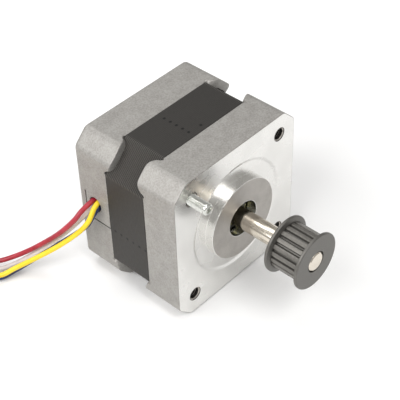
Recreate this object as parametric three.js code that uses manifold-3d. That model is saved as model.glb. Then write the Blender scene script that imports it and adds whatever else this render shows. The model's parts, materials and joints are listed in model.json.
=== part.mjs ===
// A two-phase hybrid stepper motor with a flanged timing belt pulley pressed on its shaft.
// Millimetres, +Z up. The motor lies on one flat side and its shaft points along -Y.
// The origin is on the resting plane, under the middle of the motor and shaft together.

import * as THREE from 'three';
import { mergeVertices } from 'three/addons/utils/BufferGeometryUtils.js';
import Module from 'manifold-3d';

const wasm = await Module();
wasm.setup();

// Driving dimensions. Y is measured from the mounting face: minus is out along the shaft.
const bodyWidth = 42.3;
const bodyHalf = bodyWidth / 2;
const bodyLength = 32.9;
const frontCapRear = 10.1;
const rearCapFront = 22.5;
const capCornerLeg = 3.9;
const capCornerFillet = 1.6;
const lobeLength = 1.9;
const lobeSetIn = 0.75;
const lobeRoot = 0.5;
const stackCornerLeg = 7.3;
const boltHalfSpacing = 15.5;
const threadRadius = 1.5;
const boltHoleRadius = 1.65;
const pilotRadius = 11;
const pilotHeight = 2;
const faceRecessOuterRadius = 15.4;
const faceRecessInnerRadius = 14.6;
const faceRecessDepth = 0.35;
const noseHoleRadius = 4.85;
const windingCavityRadius = 17.6;
const frontCavityFloor = 5.6;
const rearCavityFloor = 29;
const screwHeadDepth = 2.4;
const screwHeadHoleRadius = 3.1;
const tailHoleRadius = 3;
const shaftRadius = 2.5;
const shaftTip = -24.4;
const shaftTail = 31.4;
const bearingOuterRadius = 8;
const bearingWidth = 5;
const frontBearingStart = 1;
const rearBearingStart = 26;
const ballRadius = 1.25;
const ballPitchRadius = 5.3;
const raceLandDrop = 0.85;
const ballCount = 7;
const rotorRadius = 10.9;
const statorBoreRadius = 11.1;
const rotorTeeth = 50;
const poleCount = 8;
const pulleyTeeth = 20;
const beltPitch = 2;
const pulleyTipRadius = (pulleyTeeth * beltPitch) / (2 * Math.PI) - 0.254;
const grooveDepth = 0.76;
const firstGrooveAngle = THREE.MathUtils.degToRad(12);
const flangeRadius = 7.45;
const flangeThickness = 1.1;
const pulleyRear = -14.7;
const pulleyFront = -24.3;
const leadRadius = 0.65;
const slip = 0.05;
const touch = 0.02;
const clearance = 0.3;
const past = 5;
const axisHeight = bodyHalf;
const bodyMiddle = (shaftTip + bodyLength) / 2;

// Finishes.
const castAluminium = { color: 0xa8a39e, roughness: 0.55, metalness: 0.75 };
const siliconSteel = { color: 0x4b4a45, roughness: 0.6, metalness: 0.5 };
const brightSteel = { color: 0xaaa096, roughness: 0.25, metalness: 1 };
const bearingSteel = { color: 0x8c8c8a, roughness: 0.3, metalness: 1 };
const sinteredSteel = { color: 0x5c5a56, roughness: 0.5, metalness: 0.7 };
const zincPlate = { color: 0xb9bab6, roughness: 0.3, metalness: 0.9 };
const magnetGrey = { color: 0x3a3a3c, roughness: 0.5, metalness: 0.6 };
const nylon = { color: 0xd8d2c2, roughness: 0.6, metalness: 0 };
const copper = { color: 0xb06a3a, roughness: 0.4, metalness: 0.8 };
const circuitGreen = { color: 0x3f6b45, roughness: 0.5, metalness: 0 };
const tinned = { color: 0xc8c8c4, roughness: 0.35, metalness: 0.9 };
const leadColours = { red: 0xa93240, yellow: 0xefd22a, blue: 0x1f2f5f, white: 0xcfc6c2 };

// Everything on the shaft axis is placed in a group whose origin is the mounting face's centre.
const assembly = new THREE.Group();
const motor = new THREE.Group();
motor.position.set(0, -bodyMiddle, axisHeight);
assembly.add(motor);

function addPart(name, geometry, finish, parent = motor) {
  const mesh = new THREE.Mesh(geometry, new THREE.MeshStandardMaterial(finish));
  mesh.name = name;
  parent.add(mesh);
  return mesh;
}

// A geometry with shared vertices, and without the flat triangles at a lathe's poles.
function weld(geometry) {
  const bare = geometry.clone();
  bare.deleteAttribute('normal');
  bare.deleteAttribute('uv');
  const merged = mergeVertices(bare, 1e-4);
  const old = merged.index.array;
  const kept = [];
  for (let i = 0; i < old.length; i += 3) {
    const [a, b, c] = [old[i], old[i + 1], old[i + 2]];
    if (a !== b && b !== c && c !== a) kept.push(a, b, c);
  }
  merged.setIndex(kept);
  return merged;
}

function toSolid(geometry) {
  const merged = weld(geometry);
  return new wasm.Manifold(new wasm.Mesh({
    numProp: 3,
    vertProperties: new Float32Array(merged.attributes.position.array),
    triVerts: new Uint32Array(merged.index.array),
  }));
}

function toGeometry(solid) {
  const mesh = solid.getMesh();
  const geometry = new THREE.BufferGeometry();
  geometry.setAttribute('position', new THREE.BufferAttribute(new Float32Array(mesh.vertProperties), 3));
  geometry.setIndex(new THREE.BufferAttribute(new Uint32Array(mesh.triVerts), 1));
  geometry.computeVertexNormals();
  return geometry;
}

function cut(base, tools) {
  let solid = toSolid(base);
  for (const tool of tools) solid = solid.subtract(toSolid(tool));
  return toGeometry(solid);
}

function join(pieces) {
  let solid = toSolid(pieces[0]);
  for (const piece of pieces.slice(1)) solid = solid.add(toSolid(piece));
  return toGeometry(solid);
}

// A solid of revolution about Y from a closed [radius, y] outline, faces outwards.
function turned(outline, segments) {
  const points = outline.map(([radius, y]) => new THREE.Vector2(radius, y));
  if (!THREE.ShapeUtils.isClockWise(points)) points.reverse();
  points.reverse();
  points.push(points[0].clone());
  return new THREE.LatheGeometry(points, segments);
}

// A flat shape in X and Z carried along Y from one plane to another.
function prism(shape, yFrom, yTo, curveSegments = 8) {
  const depth = yTo - yFrom;
  const geometry = new THREE.ExtrudeGeometry(shape, { depth, bevelEnabled: false, curveSegments });
  geometry.rotateX(Math.PI / 2);
  geometry.translate(0, yTo, 0);
  return geometry;
}

function rod(radius, yFrom, yTo, x = 0, z = 0, segments = 24) {
  const geometry = new THREE.CylinderGeometry(radius, radius, yTo - yFrom, segments);
  geometry.translate(x, (yFrom + yTo) / 2, z);
  return geometry;
}

// The corner radius of a faceted bore whose flats just clear a pin of the given radius.
function boreRound(pinRadius, segments) {
  return (pinRadius + 0.01) / Math.cos(Math.PI / segments);
}

// A rectangular ring section: inner and outer radius, and its two ends along Y.
function ring(inner, outer, yFrom, yTo, segments) {
  return turned([[inner, yFrom], [outer, yFrom], [outer, yTo], [inner, yTo]], segments);
}

// A square with 45 degree corners, each corner's two bends rounded by a fillet.
function corneredSquare(half, leg, fillet) {
  const corners = [];
  for (let quarter = 0; quarter < 4; quarter += 1) {
    const turn = (quarter * Math.PI) / 2;
    for (const [x, z] of [[half, half - leg], [half - leg, half]]) {
      corners.push(new THREE.Vector2(x, z).rotateAround(new THREE.Vector2(), turn));
    }
  }
  const shape = new THREE.Shape();
  corners.forEach((corner, i) => {
    const before = corners[(i + 7) % 8];
    const after = corners[(i + 1) % 8];
    const entry = corner.clone().add(before.clone().sub(corner).setLength(fillet * 0.414));
    const exit = corner.clone().add(after.clone().sub(corner).setLength(fillet * 0.414));
    if (i === 0) shape.moveTo(entry.x, entry.y);
    else shape.lineTo(entry.x, entry.y);
    if (fillet > 0) shape.quadraticCurveTo(corner.x, corner.y, exit.x, exit.y);
  });
  shape.closePath();
  return shape;
}

function polygon(points) {
  return new THREE.Shape(points.map(([x, z]) => new THREE.Vector2(x, z)));
}

// The four tapped holes, from the upper left one round to the lower left one.
const boltCorners = [[-1, 1], [1, 1], [1, -1], [-1, -1]];
const boltPlaces = boltCorners.map(([x, z]) => [x * boltHalfSpacing, z * boltHalfSpacing]);

// Bearing pockets, the same in both caps.
const pocketSegments = 28;
const pocketRadius = boreRound(bearingOuterRadius + slip, pocketSegments);

// End caps: a die-cast cup each, with four lobes that reach over the stack's cut corners.
function cornerLobes(yFrom, yTo) {
  const start = bodyHalf - stackCornerLeg + lobeSetIn;
  const innerSum = bodyWidth - stackCornerLeg + clearance;
  const outerSum = bodyHalf - capCornerLeg;
  return [0, 1, 2, 3].map((quarter) => {
    const outline = [
      [start, bodyHalf], [outerSum, bodyHalf], [bodyHalf, outerSum], [bodyHalf, start],
      [innerSum - start, start], [start, innerSum - start],
    ].map(([x, z]) => {
      const point = new THREE.Vector2(x, z).rotateAround(new THREE.Vector2(), (quarter * Math.PI) / 2);
      return [point.x, point.y];
    });
    return prism(polygon(outline.reverse()), yFrom, yTo);
  });
}

function capBlank(yFrom, yTo) {
  return prism(corneredSquare(bodyHalf, capCornerLeg, capCornerFillet), yFrom, yTo, 3);
}

function makeFrontCap() {
  const lobes = cornerLobes(frontCapRear - lobeRoot, frontCapRear + lobeLength);
  const pilot = rod(pilotRadius, -pilotHeight, 1, 0, 0, 40);
  const blank = join([capBlank(0, frontCapRear), pilot, ...lobes]);
  const recess = turned([
    [pilotRadius, -1], [faceRecessOuterRadius + 1, -1], [faceRecessOuterRadius, 0],
    [faceRecessInnerRadius, faceRecessDepth], [pilotRadius, faceRecessDepth],
  ], 40);
  const cavity = rod(windingCavityRadius, frontCavityFloor, frontCapRear + past, 0, 0, 32);
  const pocket = rod(pocketRadius, frontBearingStart - slip, frontCavityFloor + 1, 0, 0, pocketSegments);
  const nose = rod(noseHoleRadius, -past, frontBearingStart + 1, 0, 0, 24);
  const holes = boltPlaces.map(([x, z]) => rod(boltHoleRadius, -past, frontCapRear + past, x, z, 12));
  return cut(blank, [recess, cavity, pocket, nose, ...holes]);
}
addPart('front_end_cap', makeFrontCap(), castAluminium);

// Lead outlet: a rectangular insert let into the rear cap's side, with one oval hole.
const outletFront = rearCapFront + 0.1;
const outletRear = 30.7;
const outletLow = -3.85;
const outletHigh = 4.45;
const outletDepth = 3;
const outletHoleCentre = [27.35, 1.45];
const outletHoleHalfSize = [1.9, 2.1];

function box(x0, x1, y0, y1, z0, z1) {
  const geometry = new THREE.BoxGeometry(x1 - x0, y1 - y0, z1 - z0);
  geometry.translate((x0 + x1) / 2, (y0 + y1) / 2, (z0 + z1) / 2);
  return geometry;
}

const hubWall = 1.6;
const pocketEnd = 31.7;

function makeRearCap() {
  const lobes = cornerLobes(rearCapFront - lobeLength, rearCapFront + lobeRoot);
  const blank = join([capBlank(rearCapFront, bodyLength), ...lobes]);
  const cavity = rod(windingCavityRadius, rearCapFront - past, rearCavityFloor, 0, 0, 32);
  const hub = rod(bearingOuterRadius + hubWall, rearBearingStart, rearCavityFloor + 1, 0, 0, 32);
  const pocket = rod(pocketRadius, rearBearingStart - 1, pocketEnd, 0, 0, pocketSegments);
  const tailHole = rod(tailHoleRadius, pocketEnd - 1, bodyLength + past, 0, 0, 20);
  const bolts = boltPlaces.flatMap(([x, z]) => [
    rod(boltHoleRadius, rearCapFront - past, bodyLength + past, x, z, 12),
    rod(screwHeadHoleRadius, bodyLength - screwHeadDepth, bodyLength + past, x, z, 16),
  ]);
  const insertSeat = box(
    -bodyHalf - past, -bodyHalf + 2 * outletDepth, rearCapFront - past, outletRear + slip,
    outletLow - slip, outletHigh + slip,
  );
  const shell = cut(blank, [cavity]);
  return cut(join([shell, hub]), [pocket, tailHole, insertSeat, ...bolts]);
}
addPart('rear_end_cap', makeRearCap(), castAluminium);

function makeOutletInsert() {
  const block = box(-bodyHalf, -bodyHalf + outletDepth, outletFront, outletRear, outletLow, outletHigh);
  const [halfAlongBody, halfHeight] = outletHoleHalfSize;
  const hole = new THREE.CylinderGeometry(1, 1, 2 * past, 20);
  hole.scale(halfAlongBody, 1, halfHeight);
  hole.rotateZ(Math.PI / 2);
  hole.translate(-bodyHalf, outletHoleCentre[0], outletHoleCentre[1]);
  return cut(block, [hole]);
}
addPart('lead_outlet_insert', makeOutletInsert(), castAluminium);

// Stator: the laminated stack with eight wound poles, each pole's face cut into small teeth.
const poleNeckHalf = 2;
const slotFloorRadius = 17.4;
const shoeOuterRadius = 13;
const shoeHalfAngle = THREE.MathUtils.degToRad(18);
const shoeTeeth = 4;

function polar(radius, angle) {
  return [radius * Math.cos(angle), radius * Math.sin(angle)];
}

// The stack's inner outline, pole by pole: slot floor, neck, shoe, toothed face, shoe and neck.
function statorBore() {
  const points = [];
  const step = (2 * Math.PI) / poleCount;
  for (let pole = 0; pole < poleCount; pole += 1) {
    const middle = pole * step;
    const neckAtFloor = Math.asin(poleNeckHalf / slotFloorRadius);
    const neckAtShoe = Math.asin(poleNeckHalf / shoeOuterRadius);
    points.push(polar(slotFloorRadius, middle - step / 2));
    points.push(polar(slotFloorRadius, middle - neckAtFloor));
    points.push(polar(shoeOuterRadius, middle - neckAtShoe));
    points.push(polar(shoeOuterRadius - 0.5, middle - shoeHalfAngle));
    const toothStep = (2 * shoeHalfAngle) / (2 * shoeTeeth - 1);
    for (let i = 0; i < shoeTeeth; i += 1) {
      const start = middle - shoeHalfAngle + 2 * i * toothStep;
      points.push(polar(statorBoreRadius, start));
      points.push(polar(statorBoreRadius, start + toothStep));
      if (i < shoeTeeth - 1) {
        points.push(polar(statorBoreRadius + 0.5, start + toothStep));
        points.push(polar(statorBoreRadius + 0.5, start + 2 * toothStep));
      }
    }
    points.push(polar(shoeOuterRadius - 0.5, middle + shoeHalfAngle));
    points.push(polar(shoeOuterRadius, middle + neckAtShoe));
    points.push(polar(slotFloorRadius, middle + neckAtFloor));
  }
  return points;
}

const stackFront = frontCapRear + touch;
const stackRear = rearCapFront - touch;

function makeStator() {
  const shape = corneredSquare(bodyHalf, stackCornerLeg, 0);
  shape.holes.push(new THREE.Path(statorBore().map(([x, z]) => new THREE.Vector2(x, z))));
  for (const [x, z] of boltPlaces) {
    shape.holes.push(new THREE.Path().absarc(x, z, boltHoleRadius, 0, 2 * Math.PI, true));
  }
  return prism(shape, stackFront, stackRear, 8);
}
addPart('stator_core', makeStator(), siliconSteel);

// Windings: one closed loop of wire around each pole's neck.
const coilInnerRadius = 13.5;
const coilOuterRadius = 16.5;
const coilHalfWidth = 4.3;
const coilInside = poleNeckHalf + 0.35;
const coilOverhang = 3.5;
const coilWindowOverhang = 1.2;

function roundedRectangle(halfWidth, low, high, corner) {
  const shape = new THREE.Shape();
  shape.moveTo(-halfWidth + corner, low);
  shape.lineTo(halfWidth - corner, low);
  shape.absarc(halfWidth - corner, low + corner, corner, -Math.PI / 2, 0, false);
  shape.lineTo(halfWidth, high - corner);
  shape.absarc(halfWidth - corner, high - corner, corner, 0, Math.PI / 2, false);
  shape.lineTo(-halfWidth + corner, high);
  shape.absarc(-halfWidth + corner, high - corner, corner, Math.PI / 2, Math.PI, false);
  shape.lineTo(-halfWidth, low + corner);
  shape.absarc(-halfWidth + corner, low + corner, corner, Math.PI, 1.5 * Math.PI, false);
  return shape;
}

function makeCoil(pole) {
  const outline = roundedRectangle(coilHalfWidth, stackFront - coilOverhang, stackRear + coilOverhang, 1.5);
  const windowFront = stackFront - coilWindowOverhang;
  const windowRear = stackRear + coilWindowOverhang;
  const window = roundedRectangle(coilInside, windowFront, windowRear, 0.4);
  outline.holes.push(window);
  const geometry = new THREE.ExtrudeGeometry(outline, {
    depth: coilOuterRadius - coilInnerRadius, bevelEnabled: false, curveSegments: 3,
  });
  geometry.translate(0, 0, coilInnerRadius);
  geometry.rotateY(Math.PI / 2 - (pole * 2 * Math.PI) / poleCount);
  return geometry;
}

for (let pole = 0; pole < poleCount; pole += 1) {
  addPart(`stator_coil_${pole + 1}`, makeCoil(pole), copper);
}

// Insulators: a channel ring on each end of the stack, with windows where the coils pass.
function makeInsulator(seat, side) {
  const floor = 0.8;
  const wall = 3.2;
  const y = (height) => seat + side * height;
  const channel = turned([
    [12.4, y(touch)], [slotFloorRadius, y(touch)], [slotFloorRadius, y(wall)], [16.85, y(wall)],
    [16.85, y(floor)], [13.05, y(floor)], [13.05, y(wall)], [12.4, y(wall)],
  ], 20);
  const windows = [];
  for (let pole = 0; pole < poleCount; pole += 1) {
    for (const hand of [-1, 1]) {
      const middle = (hand * (coilInside + coilHalfWidth)) / 2;
      const half = (coilHalfWidth - coilInside) / 2 + 0.15;
      const low = Math.min(y(-1), y(wall + 1));
      const high = Math.max(y(-1), y(wall + 1));
      const geometry = box(middle - half, middle + half, low, high, 13.3, 16.7);
      geometry.rotateY(Math.PI / 2 - (pole * 2 * Math.PI) / poleCount);
      windows.push(geometry);
    }
  }
  return cut(channel, windows);
}
addPart('front_insulator', makeInsulator(stackFront, -1), nylon);
addPart('rear_insulator', makeInsulator(stackRear, 1), nylon);

// Termination board: a thin ring behind the rear windings, where the leads are soldered.
const boardFront = rearCapFront + 4;
addPart('termination_board', ring(10.2, 17.3, boardFront, boardFront + 0.8, 24), circuitGreen);

// Case screws: pan heads sunk in the rear cap, long shanks through the stack into the front cap.
function makeCaseScrew(x, z) {
  const seat = bodyLength - screwHeadDepth + touch;
  const screw = turned([
    [0, 5], [threadRadius - 0.3, 5], [threadRadius, 5.4], [threadRadius, seat],
    [2.7, seat], [2.7, seat + 1.3], [2.1, seat + 2], [0, seat + 2],
  ], 16);
  const slots = [
    box(-1.5, 1.5, seat + 0.9, seat + 4, -0.3, 0.3),
    box(-0.3, 0.3, seat + 0.9, seat + 4, -1.5, 1.5),
  ];
  return cut(screw, slots).translate(x, 0, z);
}
boltPlaces.forEach(([x, z], i) => addPart(`case_screw_${i + 1}`, makeCaseScrew(x, z), zincPlate));

// Set screw: left in the upper left mounting hole, with a socket in its rounded outer end.
// Its thread is cut only where it stands out of the hole.
function makeSetScrew() {
  const inner = 4.6;
  const outer = -5.4;
  const pitch = 0.5;
  const outline = [[0, inner], [threadRadius - 0.3, inner], [threadRadius, inner - 0.3]];
  for (let y = -0.25; y > outer + 1; y -= pitch) {
    outline.push([threadRadius, y]);
    outline.push([threadRadius - 0.22, y - pitch / 2]);
  }
  outline.push([threadRadius, outer + 0.7]);
  outline.push([threadRadius - 0.25, outer + 0.2]);
  outline.push([threadRadius - 0.55, outer]);
  outline.push([0, outer]);
  const socket = new THREE.CylinderGeometry(0.87, 0.87, 3, 6);
  socket.translate(0, outer, 0);
  const [x, z] = boltPlaces[0];
  return cut(turned(outline, 12), [socket]).translate(x, 0, z);
}
addPart('mounting_set_screw', makeSetScrew(), zincPlate);

// Deep-groove ball bearings. The balls and their cage are one piece, just clear of both rings.
const raceRadius = ballRadius + slip;
const ringSegments = 20;

function raceArc(centreY, outwards) {
  const side = outwards ? 1 : -1;
  const land = side * raceLandDrop;
  const half = Math.sqrt(raceRadius ** 2 - land ** 2);
  const points = [];
  for (let i = 0; i <= 4; i += 1) {
    const y = -half + (2 * half * i) / 4;
    points.push([ballPitchRadius + side * Math.sqrt(raceRadius ** 2 - y ** 2), centreY + y]);
  }
  return points;
}

function outerRing(start) {
  const end = start + bearingWidth;
  const land = ballPitchRadius + raceLandDrop;
  return turned([
    [land, start], [bearingOuterRadius, start], [bearingOuterRadius, end], [land, end],
    ...raceArc((start + end) / 2, true).reverse(),
  ], 24);
}

function innerRing(start) {
  const end = start + bearingWidth;
  const land = ballPitchRadius - raceLandDrop;
  const bore = boreRound(shaftRadius, ringSegments);
  return turned([
    [bore, start], [land, start], ...raceArc((start + end) / 2, false), [land, end], [bore, end],
  ], ringSegments);
}

const cageHalfThickness = 0.4;
const cageHalfWidth = 0.9;

function ballSet(start) {
  const middle = start + bearingWidth / 2;
  const cage = ring(
    ballPitchRadius - cageHalfThickness, ballPitchRadius + cageHalfThickness,
    middle - cageHalfWidth, middle + cageHalfWidth, 2 * ballCount,
  );
  const balls = [];
  for (let i = 0; i < ballCount; i += 1) {
    const [x, z] = polar(ballPitchRadius, (i * 2 * Math.PI) / ballCount);
    const ball = new THREE.SphereGeometry(ballRadius, 7, 5);
    balls.push(ball.translate(x, middle, z));
  }
  return join([cage, ...balls]);
}

for (const [end, start] of [['front', frontBearingStart], ['rear', rearBearingStart]]) {
  addPart(`${end}_bearing_outer_ring`, outerRing(start), bearingSteel);
  addPart(`${end}_bearing_inner_ring`, innerRing(start), bearingSteel);
  addPart(`${end}_bearing_balls`, ballSet(start), bearingSteel);
}

// Preload washer: a thin ring bent into three waves, behind the rear bearing.
function makeWaveWasher() {
  const geometry = ring(6, 7.8, -0.1, 0.1, 24);
  const position = geometry.attributes.position;
  for (let i = 0; i < position.count; i += 1) {
    const angle = Math.atan2(position.getZ(i), position.getX(i));
    position.setY(i, position.getY(i) + 0.2 * Math.sin(3 * angle));
  }
  return geometry.translate(0, rearBearingStart + bearingWidth + 0.34, 0);
}
addPart('bearing_preload_washer', makeWaveWasher(), brightSteel);

// Rotor: two toothed cups, turned half a tooth from each other, with the magnet between them.
const cupFront = stackFront + 0.1;
const cupLength = 5.1;
const magnetLength = 1.9;
const shaftFit = boreRound(shaftRadius, 20);

function makeRotorCup(yFrom, turn) {
  const pitch = (2 * Math.PI) / rotorTeeth;
  const points = [];
  for (let i = 0; i < rotorTeeth; i += 1) {
    const middle = i * pitch + turn;
    points.push(polar(rotorRadius - 0.5, middle - pitch * 0.28));
    points.push(polar(rotorRadius, middle - pitch * 0.2));
    points.push(polar(rotorRadius, middle + pitch * 0.2));
    points.push(polar(rotorRadius - 0.5, middle + pitch * 0.28));
  }
  const shape = polygon(points);
  shape.holes.push(new THREE.Path().absarc(0, 0, shaftFit, 0, 2 * Math.PI, true));
  return prism(shape, yFrom, yFrom + cupLength, 10);
}

const magnetFront = cupFront + cupLength + touch;
const rearCupFront = magnetFront + magnetLength + touch;
addPart('rotor_cup_front', makeRotorCup(cupFront, 0), siliconSteel);
const magnet = ring(shaftFit, rotorRadius - 0.7, magnetFront, magnetFront + magnetLength, 20);
addPart('rotor_magnet', magnet, magnetGrey);
addPart('rotor_cup_rear', makeRotorCup(rearCupFront, Math.PI / rotorTeeth), siliconSteel);

// Spacers hold the rotor between the two inner rings.
const spacerRadius = 3.9;
const frontSpacerStart = frontBearingStart + bearingWidth + touch;
const rearSpacerStart = rearCupFront + cupLength + touch;
const frontSpacer = ring(shaftFit, spacerRadius, frontSpacerStart, cupFront - touch, 20);
const rearSpacer = ring(shaftFit, spacerRadius, rearSpacerStart, rearBearingStart - touch, 20);
addPart('rotor_spacer_front', frontSpacer, brightSteel);
addPart('rotor_spacer_rear', rearSpacer, brightSteel);

// Shaft: ground steel, chamfered at both ends.
addPart('motor_shaft', turned([
  [0, shaftTip], [shaftRadius - 0.3, shaftTip], [shaftRadius, shaftTip + 0.3],
  [shaftRadius, shaftTail - 0.3], [shaftRadius - 0.3, shaftTail], [0, shaftTail],
], 32), brightSteel);

// Pulley: toothed body with a short spigot at each end, and a flange pressed on each spigot.
const spigotRadius = 2.95;
const spigotSetBack = 0.15;
const flangeSegments = 32;
const toothedRear = pulleyRear - flangeThickness;
const toothedFront = pulleyFront + flangeThickness;

function makePulleyBody() {
  const pitch = (2 * Math.PI) / pulleyTeeth;
  const points = [];
  for (let i = 0; i < pulleyTeeth; i += 1) {
    const middle = firstGrooveAngle + i * pitch;
    points.push(polar(pulleyTipRadius, middle - pitch * 0.24));
    points.push(polar(pulleyTipRadius - 0.3, middle - pitch * 0.2));
    points.push(polar(pulleyTipRadius - grooveDepth, middle - pitch * 0.1));
    points.push(polar(pulleyTipRadius - grooveDepth, middle + pitch * 0.1));
    points.push(polar(pulleyTipRadius - 0.3, middle + pitch * 0.2));
    points.push(polar(pulleyTipRadius, middle + pitch * 0.24));
  }
  const toothed = prism(polygon(points), toothedFront, toothedRear);
  const spigot = rod(spigotRadius, pulleyFront + spigotSetBack, pulleyRear - spigotSetBack, 0, 0, 28);
  const bore = rod(shaftFit, pulleyFront - past, pulleyRear + past, 0, 0, 20);
  return cut(join([toothed, spigot]), [bore]);
}
addPart('pulley_toothed_body', makePulleyBody(), sinteredSteel);

// A flange has a rounded rim, and its belt side slopes back towards the rim.
function makeFlange(beltSide, outside) {
  const away = Math.sign(outside - beltSide);
  const bore = boreRound(spigotRadius, flangeSegments);
  const outline = [
    [bore, beltSide + away * touch], [pulleyTipRadius + 0.2, beltSide + away * touch],
    [flangeRadius - 0.2, beltSide + away * 0.32], [flangeRadius, beltSide + away * 0.55],
    [flangeRadius - 0.05, outside - away * 0.22], [flangeRadius - 0.3, outside], [bore, outside],
  ];
  return turned(outline, flangeSegments);
}
addPart('pulley_rear_flange', makeFlange(toothedRear, pulleyRear), sinteredSteel);
addPart('pulley_front_flange', makeFlange(toothedFront, pulleyFront), sinteredSteel);

// Leads: out of the insert's hole, down to the resting surface, then gathered two over two.
// Their points are in the part's own frame. The rest of each lead is wound in one flat coil.
const leadRoutes = {
  red: [
    [-19.4, 23.88, 23.4], [-21.4, 23.9, 23.4], [-23.4, 24.0, 22.95], [-25.3, 24.3, 21.9],
    [-26.48, 24.68, 20.7], [-27.97, 26.25, 18.2], [-29.5, 29.09, 14.6], [-31.41, 32.94, 10.6],
    [-33.42, 36.78, 7.0], [-35.78, 40.1, 4.5], [-38.4, 42.99, 3.0], [-41.9, 46.9, 2.4],
    [-45.7, 50.0, 2.45],
  ],
  white: [
    [-19.4, 23.88, 21.8], [-21.6, 23.9, 21.4], [-23.6, 24.3, 20.4], [-25.52, 25.86, 17.8],
    [-27.88, 28.61, 14.0], [-29.88, 31.9, 10.0], [-31.45, 34.61, 7.2], [-33.32, 37.42, 4.3],
    [-36.0, 40.44, 1.7], [-39.28, 42.38, 1.0], [-42.4, 46.4, 0.9], [-45.7, 49.9, 1.05],
  ],
  yellow: [
    [-19.4, 22.4, 23.5], [-21.0, 22.3, 23.45], [-22.4, 22.1, 22.95], [-23.6, 21.9, 21.8],
    [-24.5, 22.0, 20.4], [-25.4, 22.55, 18.95], [-26.68, 23.71, 17.0], [-29.41, 26.72, 13.4],
    [-32.24, 29.78, 10.4], [-35.91, 33.94, 6.8], [-38.59, 36.82, 4.4], [-41.52, 39.36, 2.5],
    [-44.0, 43.9, 2.3], [-47.0, 48.4, 2.45],
  ],
  blue: [
    [-19.4, 22.4, 22.05], [-21.0, 22.4, 21.8], [-22.2, 22.45, 21.0], [-23.05, 22.8, 19.6],
    [-23.9, 23.6, 17.5], [-25.35, 26.43, 13.9], [-27.45, 29.91, 10.2], [-29.51, 33.03, 7.0],
    [-32.36, 36.15, 3.7], [-37.02, 38.87, 1.2], [-41.22, 40.08, 0.85], [-43.9, 44.0, 0.85],
    [-47.0, 48.4, 1.05],
  ],
};

function makeLead(points) {
  const path = new THREE.CatmullRomCurve3(points.map((point) => new THREE.Vector3(...point)));
  const section = new THREE.Shape();
  section.absarc(0, 0, leadRadius, 0, 2 * Math.PI, false);
  return new THREE.ExtrudeGeometry(section, {
    extrudePath: path, steps: 16, bevelEnabled: false, curveSegments: 4,
  });
}

for (const [colour, route] of Object.entries(leadRoutes)) {
  addPart(`lead_${colour}`, makeLead(route), { color: leadColours[colour], roughness: 0.4 }, assembly);
}

// The flat coil: the four leads wound together inwards from its rim.
const coilCentre = [-65.9, 45.55];
const coilStartRadius = 16.5;
const coilTurns = 3.3;
const turnSpacing = 2.9;
const strandOffset = 0.7;
const coilFloor = 0.4;

function aboutZ(outline, segments) {
  return turned(outline, segments).rotateX(Math.PI / 2);
}

const coilRimRadius = coilStartRadius + strandOffset + leadRadius;
const coilEyeRadius = coilStartRadius - coilTurns * turnSpacing - strandOffset - leadRadius + 0.3;
const coilTop = coilFloor + 4 * leadRadius + 0.1;
addPart('lead_coil', aboutZ([
  [coilEyeRadius, coilFloor + 0.25], [coilRimRadius, coilFloor + 0.25],
  [coilRimRadius, coilTop], [coilEyeRadius, coilTop],
], 28).translate(coilCentre[0], coilCentre[1], 0), { color: 0x6b5a4a, roughness: 0.5 }, assembly);

// The tie: one flat band round the coil's section, through its eye.
const tieThickness = 0.35;
const tieFoot = 0.02;
const tieWidth = 2.5;

function makeTie() {
  const inner = coilEyeRadius - clearance;
  const outer = coilRimRadius + clearance;
  const ceiling = coilTop + clearance;
  const left = inner - tieThickness;
  const right = outer + tieThickness;
  const top = ceiling + tieThickness;
  const shape = polygon([[left, tieFoot], [right, tieFoot], [right, top], [left, top]]);
  const floor = tieFoot + tieThickness;
  const opening = [[inner, floor], [inner, ceiling], [outer, ceiling], [outer, floor]];
  shape.holes.push(new THREE.Path(opening.map(([x, z]) => new THREE.Vector2(x, z))));
  const geometry = prism(shape, -tieWidth / 2, tieWidth / 2);
  return geometry.rotateZ(Math.PI).translate(coilCentre[0], coilCentre[1], 0);
}
addPart('lead_coil_tie', makeTie(), { color: 0x2a2a2c, roughness: 0.6 }, assembly);

// Stripped and tinned ends, in the coil's eye.
const tipRadius = 0.45;
const tipLength = 3.5;
const tipPlaces = { red: [1, 1], white: [1, 0], yellow: [-1, 1], blue: [-1, 0] };
for (const [colour, [side, layer]] of Object.entries(tipPlaces)) {
  const geometry = new THREE.CylinderGeometry(tipRadius, tipRadius, tipLength, 8);
  const height = coilFloor + leadRadius + layer * 2 * strandOffset;
  geometry.translate(side * strandOffset, 0, height);
  geometry.translate(coilCentre[0], coilCentre[1], 0);
  addPart(`lead_tip_${colour}`, geometry, tinned, assembly);
}

export default assembly;
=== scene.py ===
import json
import math
import bpy
import numpy as np
from mathutils import Matrix, Vector


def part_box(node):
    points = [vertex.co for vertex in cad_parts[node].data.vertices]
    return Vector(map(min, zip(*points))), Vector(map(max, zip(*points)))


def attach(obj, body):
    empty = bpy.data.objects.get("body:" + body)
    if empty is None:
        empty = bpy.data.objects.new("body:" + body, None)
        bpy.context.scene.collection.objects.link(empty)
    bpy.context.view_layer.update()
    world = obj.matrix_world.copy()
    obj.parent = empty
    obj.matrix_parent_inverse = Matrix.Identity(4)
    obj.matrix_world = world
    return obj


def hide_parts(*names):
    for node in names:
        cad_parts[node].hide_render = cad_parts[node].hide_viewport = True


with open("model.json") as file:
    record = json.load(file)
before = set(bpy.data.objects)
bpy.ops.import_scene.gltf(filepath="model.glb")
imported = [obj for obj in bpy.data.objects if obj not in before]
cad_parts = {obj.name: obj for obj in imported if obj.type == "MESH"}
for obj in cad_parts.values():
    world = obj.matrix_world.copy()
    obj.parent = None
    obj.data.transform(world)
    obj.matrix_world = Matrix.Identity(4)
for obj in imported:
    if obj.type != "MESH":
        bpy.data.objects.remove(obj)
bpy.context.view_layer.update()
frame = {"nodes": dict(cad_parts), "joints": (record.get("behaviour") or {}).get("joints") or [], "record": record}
record = frame["record"]
mm = 0.001
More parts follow.
